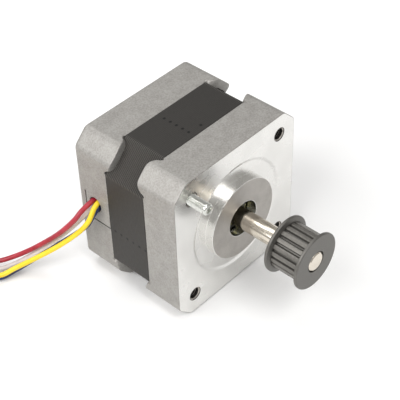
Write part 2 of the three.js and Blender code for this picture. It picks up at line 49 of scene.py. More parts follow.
print("frame loaded")


# ---------- where things are, from the frame ----------

def mountPlace(name):
    return [m["pos_m"] for m in record["mounts"] if m["name"] == name][0]


def nodeSpan(node, axis):
    # Lowest and highest coordinate of a CAD node along one axis, in millimetres of the motor's own frame
    low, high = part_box(node)
    return (low[axis] - shaftOrigin[axis]) / mm, (high[axis] - shaftOrigin[axis]) / mm


shaftHeight = frame["joints"][0]["pos_m"][2]
shaftOrigin = np.array([0.0, mountPlace("mounting_face")[1], shaftHeight])
bodyHalf = nodeSpan("front_end_cap", 0)[1]
stackFront, stackRear = nodeSpan("stator_core", 1)
bodyRear = nodeSpan("rear_end_cap", 1)[1]
pulleyFront, pulleyRear = nodeSpan("pulley_front_flange", 1)[0], nodeSpan("pulley_rear_flange", 1)[1]


def place(points):
    # Shapes are drawn in millimetres from the middle of the mounting face; this puts them in the part's frame
    return np.asarray(points, float) * mm + shaftOrigin


# ---------- mesh making ----------

def roundedLine(corners, steps=5, support=0.04):
    # A polyline whose corners are arcs: each corner is (u, v, radius), and the arc touches both its sides.
    # Two extra points beside each arc keep the flat stretches flat in shading.
    line = []
    for i, (u, v, radius) in enumerate(corners):
        corner = np.array([u, v], float)
        if radius == 0 or i in (0, len(corners) - 1):
            line.append(corner)
            continue
        before = np.array(corners[i - 1][:2], float) - corner
        after = np.array(corners[i + 1][:2], float) - corner
        before /= np.linalg.norm(before)
        after /= np.linalg.norm(after)
        opening = math.acos(np.clip(before @ after, -1, 1))
        reach = radius / math.tan(opening / 2)
        middle = before + after
        centre = corner + middle / np.linalg.norm(middle) * radius / math.sin(opening / 2)
        first, last = corner + before * reach - centre, corner + after * reach - centre
        sweep = math.pi - opening
        share = np.linspace(0, 1, steps + 1)[:, None]
        arc = (np.sin((1 - share) * sweep) * first + np.sin(share * sweep) * last) / math.sin(sweep)
        line.append(corner + before * (reach + support))
        line.extend(centre + arc)
        line.append(corner + after * (reach + support))
    return np.array(line)


def around(radii, heights, angles):
    # Rings about the shaft axis: x = r cos a, z = r sin a, y = height. Both may change round a ring.
    radii, heights, angles = np.broadcast_arrays(radii, heights, angles)
    return np.stack([radii * np.cos(angles), heights, radii * np.sin(angles)], axis=-1)


def ringFaces(rows, columns, closedLoop):
    # Quads between neighbouring rings of a grid; the last ring joins the first where the loop is closed
    index = np.arange(rows * columns).reshape(rows, columns)
    near = index if closedLoop else index[:-1]
    far = np.roll(index, -1, axis=0) if closedLoop else index[1:]
    return np.stack([near, np.roll(near, -1, 1), np.roll(far, -1, 1), far], axis=-1).reshape(-1, 4)


def faceOut(points, quads, fans):
    # Six times the volume under the faces is negative when they point inwards, and then each is turned over
    triangles = np.concatenate([quads[:, :3], quads[:, [0, 2, 3]], fans])
    a, b, c = (points[triangles[:, k]] for k in range(3))
    if np.einsum("ij,ij->i", a, np.cross(b, c)).sum() < 0:
        return quads[:, ::-1], fans[:, ::-1]
    return quads, fans


def makeMesh(name, points, quads, fans=np.zeros((0, 3), int), sharpAbove=32, slots=None):
    quads, fans = faceOut(points - points.mean(0), quads, fans)
    mesh = bpy.data.meshes.new(name)
    mesh.from_pydata(points.tolist(), [], quads.tolist() + fans.tolist())
    if slots is not None:
        mesh.polygons.foreach_set("material_index", np.asarray(slots, np.int32))
    piece = bpy.data.objects.new(name, mesh)
    bpy.context.scene.collection.objects.link(piece)
    smoothShade(piece, sharpAbove)
    return piece


def smoothShade(piece, sharpAbove):
    mesh = piece.data
    mesh.polygons.foreach_set("use_smooth", np.ones(len(mesh.polygons), bool))
    mesh.set_sharp_from_angle(angle=math.radians(sharpAbove))
    mesh.update()


def ringPiece(name, rings, startPole=None, endPole=None, sharpAbove=32, rowSlots=None, raw=False):
    # A closed surface from rings (rows, columns, 3). It closes on itself, or at a pole at each end.
    rows, columns = rings.shape[:2]
    closedLoop = startPole is None
    points = rings.reshape(-1, 3)
    quads = ringFaces(rows, columns, closedLoop)
    fans = np.zeros((0, 3), int)
    if not closedLoop:
        first, last = np.arange(columns), np.arange(columns) + (rows - 1) * columns
        points = np.concatenate([points, [startPole, endPole]])
        startFan = np.stack([np.roll(first, -1), first, np.full(columns, rows * columns)], axis=-1)
        endFan = np.stack([last, np.roll(last, -1), np.full(columns, rows * columns + 1)], axis=-1)
        fans = np.concatenate([startFan, endFan])
    slots = None
    if rowSlots is not None:
        slots = np.repeat(np.asarray(rowSlots), columns)
        slots = np.concatenate([slots, np.zeros(len(fans), int)])
    if raw:
        return points, quads, fans
    return makeMesh(name, place(points), quads, fans, sharpAbove, slots)


def turnedPiece(name, corners, segments, closedLoop=False, steps=5, sharpAbove=32):
    # A profile of (radius, y, corner radius) turned about the shaft axis. An open one starts and ends on it.
    angles = np.arange(segments) * 2 * math.pi / segments
    if closedLoop:
        middle = [((corners[0][k] + corners[-1][k]) / 2) for k in (0, 1)]
        line = roundedLine([(*middle, 0), *corners, (*middle, 0)], steps)[:-1]
        return ringPiece(name, around(line[:, :1], line[:, 1:], angles), sharpAbove=sharpAbove)
    line = roundedLine(corners, steps)
    inner = line[1:-1]
    rings = around(inner[:, :1], inner[:, 1:], angles)
    poles = [(0, line[0, 1], 0), (0, line[-1, 1], 0)]
    return ringPiece(name, rings, *poles, sharpAbove=sharpAbove)


def blockRaw(low, high):
    # A plain box as points and faces, for cutting
    x, y, z = zip(low, high)
    points = np.array([(a, b, c) for a in x for b in y for c in z], float)
    quads = np.array([[0, 1, 3, 2], [4, 6, 7, 5], [0, 4, 5, 1], [2, 3, 7, 6], [0, 2, 6, 4], [1, 5, 7, 3]])
    return points, quads, np.zeros((0, 3), int)


def moved(raw, dx, dz):
    points, quads, fans = raw
    return points + np.array([dx, 0, dz]), quads, fans


def carve(piece, tools, cutSlot=1, sharpAbove=32):
    # Takes the tools' shapes away from the piece. The cut faces get the material slot cutSlot.
    cutters = []
    for i, (points, quads, fans) in enumerate(tools):
        slots = np.full(len(quads) + len(fans), cutSlot)
        cutter = makeMesh(f"{piece.name}_tool{i}", place(points), quads, fans, slots=slots)
        for material in piece.data.materials:
            cutter.data.materials.append(material)
        cutters.append(cutter)
        modifier = piece.modifiers.new(cutter.name, "BOOLEAN")
        modifier.operation = "DIFFERENCE"
        modifier.solver = "EXACT"
        modifier.object = cutter
    graph = bpy.context.evaluated_depsgraph_get()
    finished = bpy.data.meshes.new_from_object(piece.evaluated_get(graph))
    piece.modifiers.clear()
    piece.data = finished
    for cutter in cutters:
        bpy.data.objects.remove(cutter)
    smoothShade(piece, sharpAbove)
    return piece


def finishPiece(piece, body, slotName, replaced, *materials):
    if materials:
        piece.data.materials.clear()
        for material in materials:
            piece.data.materials.append(material)
    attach(piece, body)
    if replaced:
        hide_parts(*replaced)
    return piece


# ---------- materials ----------

def fromHex(code):
    # An sRGB hex colour as linear red, green, blue and alpha
    values = np.array([int(code[k:k + 2], 16) for k in (0, 2, 4)]) / 255
    linear = np.where(values <= 0.04045, values / 12.92, ((values + 0.055) / 1.055) ** 2.4)
    return (*linear.tolist(), 1.0)


def perMillimetre(size):
    # A texture scale that gives a pattern of this size in millimetres, on Object coordinates in metres
    return 1 / (size * mm)


def addNode(tree, kind, inputs=None, **settings):
    node = tree.nodes.new(kind)
    for key, value in settings.items():
        setattr(node, key, value)
    for key, value in (inputs or {}).items():
        if isinstance(value, bpy.types.NodeSocket):
            tree.links.new(value, node.inputs[key])
        else:
            node.inputs[key].default_value = value
    return node


def newMaterial(name, metallic, roughness, **sockets):
    material = bpy.data.materials.new(name)
    material.use_nodes = True
    tree = material.node_tree
    shader = tree.nodes["Principled BSDF"]
    shader.inputs["Metallic"].default_value = metallic
    shader.inputs["Roughness"].default_value = roughness
    for key, value in sockets.items():
        shader.inputs[key.replace("_", " ")].default_value = value
    coordinates = addNode(tree, "ShaderNodeTexCoord")
    return material, tree, shader, coordinates.outputs["Object"]


def twoTone(tree, mask, low, high, darkHex, lightHex):
    # A colour between two, as the mask goes from low to high
    ramp = addNode(tree, "ShaderNodeValToRGB", {"Fac": mask})
    ramp.color_ramp.elements[0].position = low
    ramp.color_ramp.elements[1].position = high
    ramp.color_ramp.elements[0].color = fromHex(darkHex)
    ramp.color_ramp.elements[1].color = fromHex(lightHex)
    return ramp.outputs["Color"]


def roughRange(tree, mask, low, high):
    spread = addNode(tree, "ShaderNodeMapRange", {"Value": mask, "From Min": 0.3, "From Max": 0.7,
                                                  "To Min": low, "To Max": high})
    return spread.outputs["Result"]


def bumpFrom(tree, shader, height, depthMillimetres, strength=1.0):
    bump = addNode(tree, "ShaderNodeBump", {"Height": height, "Distance": depthMillimetres * mm,
                                            "Strength": strength})
    tree.links.new(bump.outputs["Normal"], shader.inputs["Normal"])
    return bump


def noiseAt(tree, place, size, detail=3.0, roughness=0.55):
    noise = addNode(tree, "ShaderNodeTexNoise", {"Vector": place, "Scale": perMillimetre(size),
                                                 "Detail": detail, "Roughness": roughness})
    return noise.outputs["Fac"]


def blended(tree, a, b, share):
    mix = addNode(tree, "ShaderNodeMix", {"Factor": share, "A": a, "B": b}, data_type="FLOAT")
    return mix.outputs["Result"]


def fromAxis(tree, place):
    # Coordinates whose origin is on the shaft axis, in the plane of the mounting face
    centred = addNode(tree, "ShaderNodeMapping", {"Vector": place, "Location": tuple(-shaftOrigin)})
    return centred.outputs["Vector"]


def waveAlong(tree, centred, size, distortion=0.0):
    # Bands across the shaft axis, one every size millimetres
    wave = addNode(tree, "ShaderNodeTexWave", {"Vector": centred, "Distortion": distortion,
                                               "Scale": wavePeriod * perMillimetre(size)},
                   wave_type="BANDS", bands_direction="Y")
    return wave.outputs["Fac"]


wavePeriod = 0.314  # a wave texture of scale 1 repeats every 0.314
threadPitch = 0.5
castSettings = {"grain": 0.42, "cloud": 3.0, "dark": "8D8A86", "light": "A8A6A2", "depth": 0.025}


def dieCastAluminium():
    # Die-cast aluminium, tumbled: dull warm grey with a fine sandy grain and faint clouds from the mould
    material, tree, shader, place = newMaterial("dieCastAluminium", 0.55, 0.5)
    grain = noiseAt(tree, place, castSettings["grain"], 4.0, 0.65)
    cloud = noiseAt(tree, place, castSettings["cloud"], 3.0)
    mask = blended(tree, grain, cloud, 0.25)
    colour = twoTone(tree, mask, 0.37, 0.63, castSettings["dark"], castSettings["light"])
    tree.links.new(colour, shader.inputs["Base Color"])
    tree.links.new(roughRange(tree, grain, 0.42, 0.6), shader.inputs["Roughness"])
    bumpFrom(tree, shader, grain, castSettings["depth"], 0.55)
    return material


machinedSettings = {"feed": 0.22, "dark": "DDDCD9", "light": "EBEAE7", "depth": 0.003}


def machinedAluminium():
    # Aluminium faced on a lathe: bright and smooth, with fine turning rings about the shaft axis
    # (the 0.05 mm feed marks are drawn coarser, so that they show)
    material, tree, shader, place = newMaterial("machinedAluminium", 1.0, 0.22)
    rings = addNode(tree, "ShaderNodeTexWave", {"Vector": fromAxis(tree, place),
                                                "Scale": wavePeriod * perMillimetre(machinedSettings["feed"]),
                                                "Distortion": 0.6, "Detail": 2.0, "Detail Scale": 3.0},
                    wave_type="RINGS", rings_direction="Y")
    smear = noiseAt(tree, place, 6.0, 1.0)
    mask = blended(tree, rings.outputs["Fac"], smear, 0.7)
    colour = twoTone(tree, mask, 0.3, 0.7, machinedSettings["dark"], machinedSettings["light"])
    tree.links.new(colour, shader.inputs["Base Color"])
    tree.links.new(roughRange(tree, smear, 0.2, 0.3), shader.inputs["Roughness"])
    bumpFrom(tree, shader, rings.outputs["Fac"], machinedSettings["depth"], 0.05)
    return material


def blastedFace():
    # The boss's end face, machined and then blasted: flat light grey with a very fine grain
    material, tree, shader, place = newMaterial("blastedAluminium", 0.85, 0.45)
    grain = noiseAt(tree, place, 0.3, 4.0, 0.6)
    mask = blended(tree, grain, noiseAt(tree, place, 4.0), 0.4)
    colour = twoTone(tree, mask, 0.35, 0.65, "9F9B96", "B9B5B0")
    tree.links.new(colour, shader.inputs["Base Color"])
    tree.links.new(roughRange(tree, grain, 0.4, 0.52), shader.inputs["Roughness"])
    bumpFrom(tree, shader, grain, 0.012, 0.5)
    return material


stackSettings = {"cornerLeg": 7.3, "cornerRound": 0.5, "sheets": 25, "sideGroove": 0.02, "cornerGroove": 0.14,
                 "poles": 8, "neckHalf": 2.0, "slotFloor": 17.4, "shoeOuter": 13.0, "shoeHalfAngle": 18.0,
                 "shoeTeeth": 4, "bore": 11.1, "drawnSheet": 0.496}
dotSettings = {"radius": 0.42, "topRow": (-3.14, 20.1, -1.98, 4), "sideRow": (-3.45, 20.85, -2.06, 5),
               "single": (0.67, 11.83)}


def dotRow(tree, centred, across, along, start, step, count):
    # Distance to the nearest dot of a row: the place along it is rounded to whole steps from its start
    parts = addNode(tree, "ShaderNodeSeparateXYZ", {"Vector": centred})
    shift = addNode(tree, "ShaderNodeMath", {0: parts.outputs["Y"], 1: start * mm}, operation="SUBTRACT")
    steps = addNode(tree, "ShaderNodeMath", {0: shift.outputs[0], 1: step * mm}, operation="DIVIDE")
    whole = addNode(tree, "ShaderNodeMath", {0: steps.outputs[0]}, operation="ROUND")
    kept = addNode(tree, "ShaderNodeClamp", {"Value": whole.outputs[0], "Min": 0.0, "Max": float(count)})
    nearest = addNode(tree, "ShaderNodeMath", {0: kept.outputs[0], 1: step * mm}, operation="MULTIPLY")
    rest = addNode(tree, "ShaderNodeMath", {0: shift.outputs[0], 1: nearest.outputs[0]}, operation="SUBTRACT")
    side = addNode(tree, "ShaderNodeMath", {0: parts.outputs[across], 1: along * mm}, operation="SUBTRACT")
    pair = addNode(tree, "ShaderNodeCombineXYZ", {"X": rest.outputs[0], "Y": side.outputs[0]})
    return addNode(tree, "ShaderNodeVectorMath", {0: pair.outputs[0]}, operation="LENGTH").outputs["Value"]


def laminatedSteel():
    # Blackened silicon steel laminations: dark grey satin, with tiny pressed dots in two rows
    material, tree, shader, place = newMaterial("blackenedLaminations", 0.5, 0.45)
    centred = fromAxis(tree, place)
    stretched = addNode(tree, "ShaderNodeMapping", {"Vector": place, "Scale": (1.0, 6.0, 1.0)})
    streak = noiseAt(tree, stretched.outputs["Vector"], 1.4, 3.0)
    grain = noiseAt(tree, place, 0.35, 3.0)
    plain = twoTone(tree, blended(tree, streak, grain, 0.4), 0.3, 0.7, "2A2826", "3A3835")
    sheets = waveAlong(tree, centred, stackSettings["drawnSheet"])
    parts = addNode(tree, "ShaderNodeSeparateXYZ", {"Vector": centred})
    wide = addNode(tree, "ShaderNodeMath", {0: parts.outputs["X"]}, operation="ABSOLUTE")
    tall = addNode(tree, "ShaderNodeMath", {0: parts.outputs["Z"]}, operation="ABSOLUTE")
    both = addNode(tree, "ShaderNodeMath", {0: wide.outputs[0], 1: tall.outputs[0]}, operation="ADD")
    onCorner = addNode(tree, "ShaderNodeMapRange", {"Value": both.outputs[0], "From Min": 34.2 * mm,
                                                    "From Max": 34.7 * mm, "To Min": 0.12, "To Max": 1.0})
    stripes = twoTone(tree, sheets, 0.25, 0.75, "191816", "54514D")
    lined = addNode(tree, "ShaderNodeMix", {"Factor": onCorner.outputs["Result"], "A": plain, "B": stripes},
                    data_type="RGBA")
    colour = lined.outputs[2]
    topX, topStart, topStep, topCount = dotSettings["topRow"]
    sideZ, sideStart, sideStep, sideCount = dotSettings["sideRow"]
    aloneX, aloneY = dotSettings["single"]
    rows = [dotRow(tree, centred, "X", topX, topStart, topStep, topCount),
            dotRow(tree, centred, "Z", sideZ, sideStart, sideStep, sideCount),
            dotRow(tree, centred, "X", aloneX, aloneY, 1.0, 0)]
    nearer = addNode(tree, "ShaderNodeMath", {0: rows[0], 1: rows[1]}, operation="MINIMUM")
    nearest = addNode(tree, "ShaderNodeMath", {0: nearer.outputs[0], 1: rows[2]}, operation="MINIMUM")
    radius = dotSettings["radius"] * mm
    dot = addNode(tree, "ShaderNodeMapRange", {"Value": nearest.outputs[0], "From Min": radius * 0.6,
                                               "From Max": radius * 1.2, "To Min": 1.0, "To Max": 0.0})
    marked = addNode(tree, "ShaderNodeMix", {"Factor": dot.outputs["Result"], "A": colour,
                                             "B": fromHex("0C0B0B")}, data_type="RGBA")
    tree.links.new(marked.outputs[2], shader.inputs["Base Color"])
    tree.links.new(roughRange(tree, streak, 0.42, 0.58), shader.inputs["Roughness"])
    bumpFrom(tree, shader, grain, 0.008, 0.4)
    return material


def groundSteel():
    # Shaft steel, ground and polished: mirror-like with hair-fine rings round it and a warm tint
    material, tree, shader, place = newMaterial("groundSteel", 1.0, 0.16)
    stretched = addNode(tree, "ShaderNodeMapping", {"Vector": place, "Scale": (1.0, 30.0, 1.0)})
    hair = noiseAt(tree, stretched.outputs["Vector"], 6.0, 4.0, 0.7)
    colour = twoTone(tree, hair, 0.3, 0.7, "D2C9BB", "E2DBCF")
    tree.links.new(colour, shader.inputs["Base Color"])
    tree.links.new(roughRange(tree, hair, 0.13, 0.2), shader.inputs["Roughness"])
    bumpFrom(tree, shader, hair, 0.001, 0.3)
    return material


pulleySettings = {"dark": "5C5A56", "light": "6F6D69", "worn": "73706B"}


def oxidisedSteel():
    # Sintered steel under black oxide: dark grey satin, open grain, lighter in patches
    material, tree, shader, place = newMaterial("blackOxideSteel", 0.6, 0.42)
    grain = noiseAt(tree, place, 0.28, 4.0, 0.65)
    patch = noiseAt(tree, place, 2.2, 3.0)
    mask = blended(tree, grain, patch, 0.5)
    colour = twoTone(tree, mask, 0.34, 0.66, pulleySettings["dark"], pulleySettings["light"])
    tree.links.new(colour, shader.inputs["Base Color"])
    tree.links.new(roughRange(tree, patch, 0.34, 0.48), shader.inputs["Roughness"])
    bumpFrom(tree, shader, grain, 0.012, 0.5)
    return material


def wornToothSteel():
    # The same steel on the teeth, with the tops of the lands burnished brighter by the belt
    material, tree, shader, place = newMaterial("beltPolishedSteel", 0.5, 0.34)
    centred = fromAxis(tree, place)
    flat = addNode(tree, "ShaderNodeVectorMath", {0: centred, 1: (1.0, 0.0, 1.0)}, operation="MULTIPLY")
    radius = addNode(tree, "ShaderNodeVectorMath", {0: flat.outputs[0]}, operation="LENGTH")
    patch = noiseAt(tree, place, 0.8, 3.0)
    top = addNode(tree, "ShaderNodeMapRange", {"Value": radius.outputs["Value"], "From Min": 5.75 * mm,
                                               "From Max": 6.1 * mm})
    mask = addNode(tree, "ShaderNodeMath", {0: top.outputs["Result"], 1: patch}, operation="MULTIPLY")
    colour = twoTone(tree, mask.outputs[0], 0.15, 0.7, "575551", pulleySettings["worn"])
    tree.links.new(colour, shader.inputs["Base Color"])
    tree.links.new(roughRange(tree, patch, 0.3, 0.42), shader.inputs["Roughness"])
    bumpFrom(tree, shader, patch, 0.01, 0.4)
    return material


def zincPlated():
    # Bright zinc plate on steel: cool silver, glossy, faintly mottled
    material, tree, shader, place = newMaterial("brightZincPlate", 1.0, 0.2)
    mottle = noiseAt(tree, place, 0.5, 3.0)
    colour = twoTone(tree, mottle, 0.3, 0.7, "C2C3BD", "E2E3DF")
    tree.links.new(colour, shader.inputs["Base Color"])
    tree.links.new(roughRange(tree, mottle, 0.14, 0.26), shader.inputs["Roughness"])
    bumpFrom(tree, shader, mottle, 0.003, 0.4)
    return material


def bearingSteelGround():
    # Ground bearing steel under a film of oil: smooth mid grey
    material, tree, shader, place = newMaterial("groundBearingSteel", 1.0, 0.25)
    film = noiseAt(tree, place, 1.2, 3.0)
    tree.links.new(twoTone(tree, film, 0.3, 0.7, "77756F", "A3A19B"), shader.inputs["Base Color"])
    tree.links.new(roughRange(tree, film, 0.16, 0.34), shader.inputs["Roughness"])
    bumpFrom(tree, shader, film, 0.004, 0.3)
    return material


def greasedBalls():
    # Balls and brass-coloured cage in yellow-green grease: glossy lumps with dark gaps
    material, tree, shader, place = newMaterial("greasedCage", 0.45, 0.25)
    lump = noiseAt(tree, place, 0.7, 3.0)
    tree.links.new(twoTone(tree, lump, 0.42, 0.6, "2E2D22", "9A9550"), shader.inputs["Base Color"])
    tree.links.new(roughRange(tree, lump, 0.2, 0.4), shader.inputs["Roughness"])
    bumpFrom(tree, shader, lump, 0.06, 0.6)
    return material


def leadInsulation(name, darkHex, lightHex):
    # Extruded vinyl insulation: smooth with a soft gloss, and long faint flow marks along the wire
    material, tree, shader, place = newMaterial(name, 0.0, 0.34, Specular_IOR_Level=0.45)
    smudge = noiseAt(tree, place, 3.5, 3.0)
    fine = noiseAt(tree, place, 0.4, 2.0)
    tree.links.new(twoTone(tree, smudge, 0.3, 0.7, darkHex, lightHex), shader.inputs["Base Color"])
    tree.links.new(roughRange(tree, smudge, 0.28, 0.42), shader.inputs["Roughness"])
    bumpFrom(tree, shader, fine, 0.01, 0.35)
    return material


def plainGrained(name, darkHex, lightHex, metallic, roughness, grainSize, depth):
    # For the hidden pieces: two close tones, and a grain of the material's own size
    material, tree, shader, place = newMaterial(name, metallic, roughness)
    grain = noiseAt(tree, place, grainSize, 3.0)
    tree.links.new(twoTone(tree, grain, 0.3, 0.7, darkHex, lightHex), shader.inputs["Base Color"])
    tree.links.new(roughRange(tree, grain, roughness - 0.06, roughness + 0.06), shader.inputs["Roughness"])
    bumpFrom(tree, shader, grain, depth, 0.4)
    return material


def enamelledCopper():
    # Enamelled winding wire: orange-brown gloss in fine parallel turns of 0.3 mm
    material, tree, shader, place = newMaterial("enamelledCopper", 0.8, 0.3)
    turns = addNode(tree, "ShaderNodeTexWave", {"Vector": place, "Scale": wavePeriod * perMillimetre(0.3),
                                                "Distortion": 0.4},
                    wave_type="BANDS", bands_direction="DIAGONAL")
    colour = twoTone(tree, turns.outputs["Fac"], 0.1, 0.8, "6E3A18", "C57B45")
    tree.links.new(colour, shader.inputs["Base Color"])
    bumpFrom(tree, shader, turns.outputs["Fac"], 0.08, 0.6)
    return material


def tappedThreadPaintedLight():
    # Cut thread in cast aluminium: the near-black flanks are painted shade inside the hole, and the bright bands,
    # one every pitch, are painted highlights on the crests
    material, tree, shader, place = newMaterial("tappedAluminiumPaintedLight", 0.9, 0.3)
    swarf = noiseAt(tree, place, 0.3, 3.0)
    turns = waveAlong(tree, fromAxis(tree, place), threadPitch, 0.5)
    mask = blended(tree, turns, swarf, 0.3)
    # Painted shade (1E1C1A) on the flanks and painted highlights (C4BEB6) on the crests
    tree.links.new(twoTone(tree, mask, 0.45, 0.7, "1E1C1A", "C4BEB6"), shader.inputs["Base Color"])
    tree.links.new(roughRange(tree, swarf, 0.25, 0.4), shader.inputs["Roughness"])
    bumpFrom(tree, shader, swarf, 0.02, 0.5)
    return material


def greasedRingPaintedShade():
    # The inner ring's face behind the nose hole, wet with yellow-green grease that lies in lumps; the near-black
    # ground between the lumps is painted shade, as deep inside the hole
    material, tree, shader, place = newMaterial("greasedBearingSteelPaintedShade", 0.7, 0.22)
    lump = noiseAt(tree, place, 0.9, 3.0)
    # Most of the face takes the dark tone 2B2B27 as painted shade for the inside of the nose hole; the
    # yellow-green lumps are grease
    tree.links.new(twoTone(tree, lump, 0.5, 0.7, "2B2B27", "8F8B4C"), shader.inputs["Base Color"])
    tree.links.new(roughRange(tree, lump, 0.15, 0.35), shader.inputs["Roughness"])
    bumpFrom(tree, shader, lump, 0.08, 0.6)
    return material


castMaterial = dieCastAluminium()
tappedMaterialPaintedLight = tappedThreadPaintedLight()
innerRingMaterialPaintedShade = greasedRingPaintedShade()
machinedMaterial = machinedAluminium()
blastedMaterial = blastedFace()
stackMaterial = laminatedSteel()
shaftMaterial = groundSteel()
pulleyMaterial = oxidisedSteel()
toothMaterial = wornToothSteel()
zincMaterial = zincPlated()
bearingMaterial = bearingSteelGround()
cageMaterial = greasedBalls()
leadMaterials = {
    "red": leadInsulation("redVinyl", "8E1F2E", "AE2F3E"),
    "white": leadInsulation("offWhiteVinyl", "CBC3BF", "DCD5D1"),
    "yellow": leadInsulation("yellowVinyl", "E6C31C", "F2D530"),
    "blue": leadInsulation("navyVinyl", "152450", "20356B"),
}
tieMaterial = plainGrained("blackNylonTie", "19191B", "2A2A2D", 0.0, 0.45, 0.5, 0.01)
nylonMaterial = plainGrained("naturalNylon", "CFC8B6", "E0DACB", 0.0, 0.5, 1.0, 0.01)
boardMaterial = plainGrained("glassEpoxyBoard", "24472C", "3A6A43", 0.0, 0.35, 0.8, 0.01)
magnetMaterial = plainGrained("nickelPlatedMagnet", "55555A", "77777C", 0.9, 0.35, 0.6, 0.005)
rotorMaterial = plainGrained("punchedSiliconSteel", "6A6964", "8B8A85", 0.95, 0.4, 0.5, 0.01)
washerMaterial = plainGrained("springSteel", "8C857C", "AFA89E", 1.0, 0.3, 0.5, 0.005)
tinnedMaterial = plainGrained("tinnedCopper", "B4B3AB", "D8D7D1", 1.0, 0.3, 0.3, 0.01)
copperMaterial = enamelledCopper()
print("materials made")


# ---------- camera ----------

cameraSettings = {"position": (-0.14819, -0.13448, 0.2057), "target": (-0.0098, -0.00142, 0.0310),
                  "roll": -1.876, "lens": 100.23, "sensor": 36.0}


def makeCamera():
    data = bpy.data.cameras.new("camera")
    data.lens = cameraSettings["lens"]
    data.sensor_width = cameraSettings["sensor"]
    data.clip_start = 0.01
    camera = bpy.data.objects.new("camera", data)
    position, target = Vector(cameraSettings["position"]), Vector(cameraSettings["target"])
    back = (position - target).normalized()
    right = Vector((0, 0, 1)).cross(back).normalized()
    up = back.cross(right)
    turn = math.radians(cameraSettings["roll"])
    tilted = right * math.cos(turn) + up * math.sin(turn)
    raised = up * math.cos(turn) - right * math.sin(turn)
    camera.matrix_world = Matrix((
        (tilted.x, raised.x, back.x, position.x),
        (tilted.y, raised.y, back.y, position.y),
        (tilted.z, raised.z, back.z, position.z),
        (0, 0, 0, 1)))
    bpy.context.scene.collection.objects.link(camera)
    bpy.context.scene.camera = camera


makeCamera()


# ---------- leads ----------

leadSettings = {
    "radius": 0.65 * mm, "length": 0.300, "sides": 18, "ringSpacing": 0.6 * mm,
    "coilCentre": (-65.9 * mm, 45.55 * mm), "startRadius": 16.5 * mm, "entryAngle": math.radians(44.6),
    "turnSpacing": 2.9 * mm, "strandOffset": 0.7 * mm, "lowLayer": 1.05 * mm, "highLayer": 2.45 * mm,
    "outerTurns": 3.2, "innerTurns": 3.32, "hookArc": math.radians(62), "hookDepth": 1.0 * mm,
    "pointsPerTurn": 20,
}
leadRoutes = {
    "red": [
        (-19.4, 23.88, 23.4), (-21.4, 23.9, 23.4), (-23.4, 24.0, 22.95), (-25.3, 24.3, 21.9),
        (-26.48, 24.68, 20.7), (-27.97, 26.25, 18.2), (-29.5, 29.09, 14.6), (-31.41, 32.94, 10.6),
        (-33.42, 36.78, 7.0), (-35.78, 40.1, 4.5), (-38.4, 42.99, 3.0), (-41.9, 46.9, 2.4),
        (-45.7, 50.0, 2.45),
    ],
    "white": [
        (-19.4, 23.88, 21.8), (-21.6, 23.9, 21.4), (-23.6, 24.3, 20.4), (-25.52, 25.86, 17.8),
        (-27.88, 28.61, 14.0), (-29.88, 31.9, 10.0), (-31.45, 34.61, 7.2), (-33.32, 37.42, 4.3),
        (-36.0, 40.44, 1.7), (-39.28, 42.38, 1.0), (-42.4, 46.4, 0.9), (-45.7, 49.9, 1.05),
    ],
    "yellow": [
        (-19.4, 22.4, 23.5), (-21.0, 22.3, 23.45), (-22.4, 22.1, 22.95), (-23.6, 21.9, 21.8),
        (-24.5, 22.0, 20.4), (-25.4, 22.55, 18.95), (-26.68, 23.71, 17.0), (-29.41, 26.72, 13.4),
        (-32.24, 29.78, 10.4), (-35.91, 33.94, 6.8), (-38.59, 36.82, 4.4), (-41.52, 39.36, 2.5),
        (-44.0, 43.9, 2.3), (-47.0, 48.4, 2.45),
    ],
    "blue": [
        (-19.4, 22.4, 22.05), (-21.0, 22.4, 21.8), (-22.2, 22.45, 21.0), (-23.05, 22.8, 19.6),
        (-23.9, 23.6, 17.5), (-25.35, 26.43, 13.9), (-27.45, 29.91, 10.2), (-29.51, 33.03, 7.0),
        (-32.36, 36.15, 3.7), (-37.02, 38.87, 1.2), (-41.22, 40.08, 0.85), (-43.9, 44.0, 0.85),
        (-47.0, 48.4, 1.05),
    ],
}
# Which side of the bundle each lead is on (1 is the coil's outside) and which of the two layers
leadPlaces = {"red": (1, 1), "white": (1, 0), "yellow": (-1, 1), "blue": (-1, 0)}


def smoothPath(points, samples=24):
    # A centripetal Catmull-Rom curve: each stretch is a cubic whose end slopes come from its neighbours,
    # weighed by the square root of the distances between the points
    points = np.asarray(points, float)
    padded = np.concatenate([[2 * points[0] - points[1]], points, [2 * points[-1] - points[-2]]])
    before, start, end, after = padded[:-3], padded[1:-2], padded[2:-1], padded[3:]
    gap = [np.sqrt(np.linalg.norm(b - a, axis=1))[:, None]
           for a, b in ((before, start), (start, end), (end, after))]
    wideStart, wideEnd = (end - before) / (gap[0] + gap[1]), (after - start) / (gap[1] + gap[2])
    startSlope = ((start - before) / gap[0] - wideStart + (end - start) / gap[1]) * gap[1]
    endSlope = ((end - start) / gap[1] - wideEnd + (after - end) / gap[2]) * gap[1]
    t = np.linspace(0, 1, samples, endpoint=False)[None, :, None]
    a, b, s, e = (v[:, None, :] for v in (start, end, startSlope, endSlope))
    curve = a + s * t + (3 * (b - a) - 2 * s - e) * t ** 2 + (2 * (a - b) + s + e) * t ** 3
    return np.concatenate([curve.reshape(-1, 3), points[-1:]])


def evenly(path, spacing):
    # The same path with its points a fixed distance apart
    along = np.concatenate([[0], np.cumsum(np.linalg.norm(np.diff(path, axis=0), axis=1))])
    wanted = np.linspace(0, along[-1], int(along[-1] / spacing) + 1)
    return np.stack([np.interp(wanted, along, path[:, k]) for k in range(3)], axis=-1)


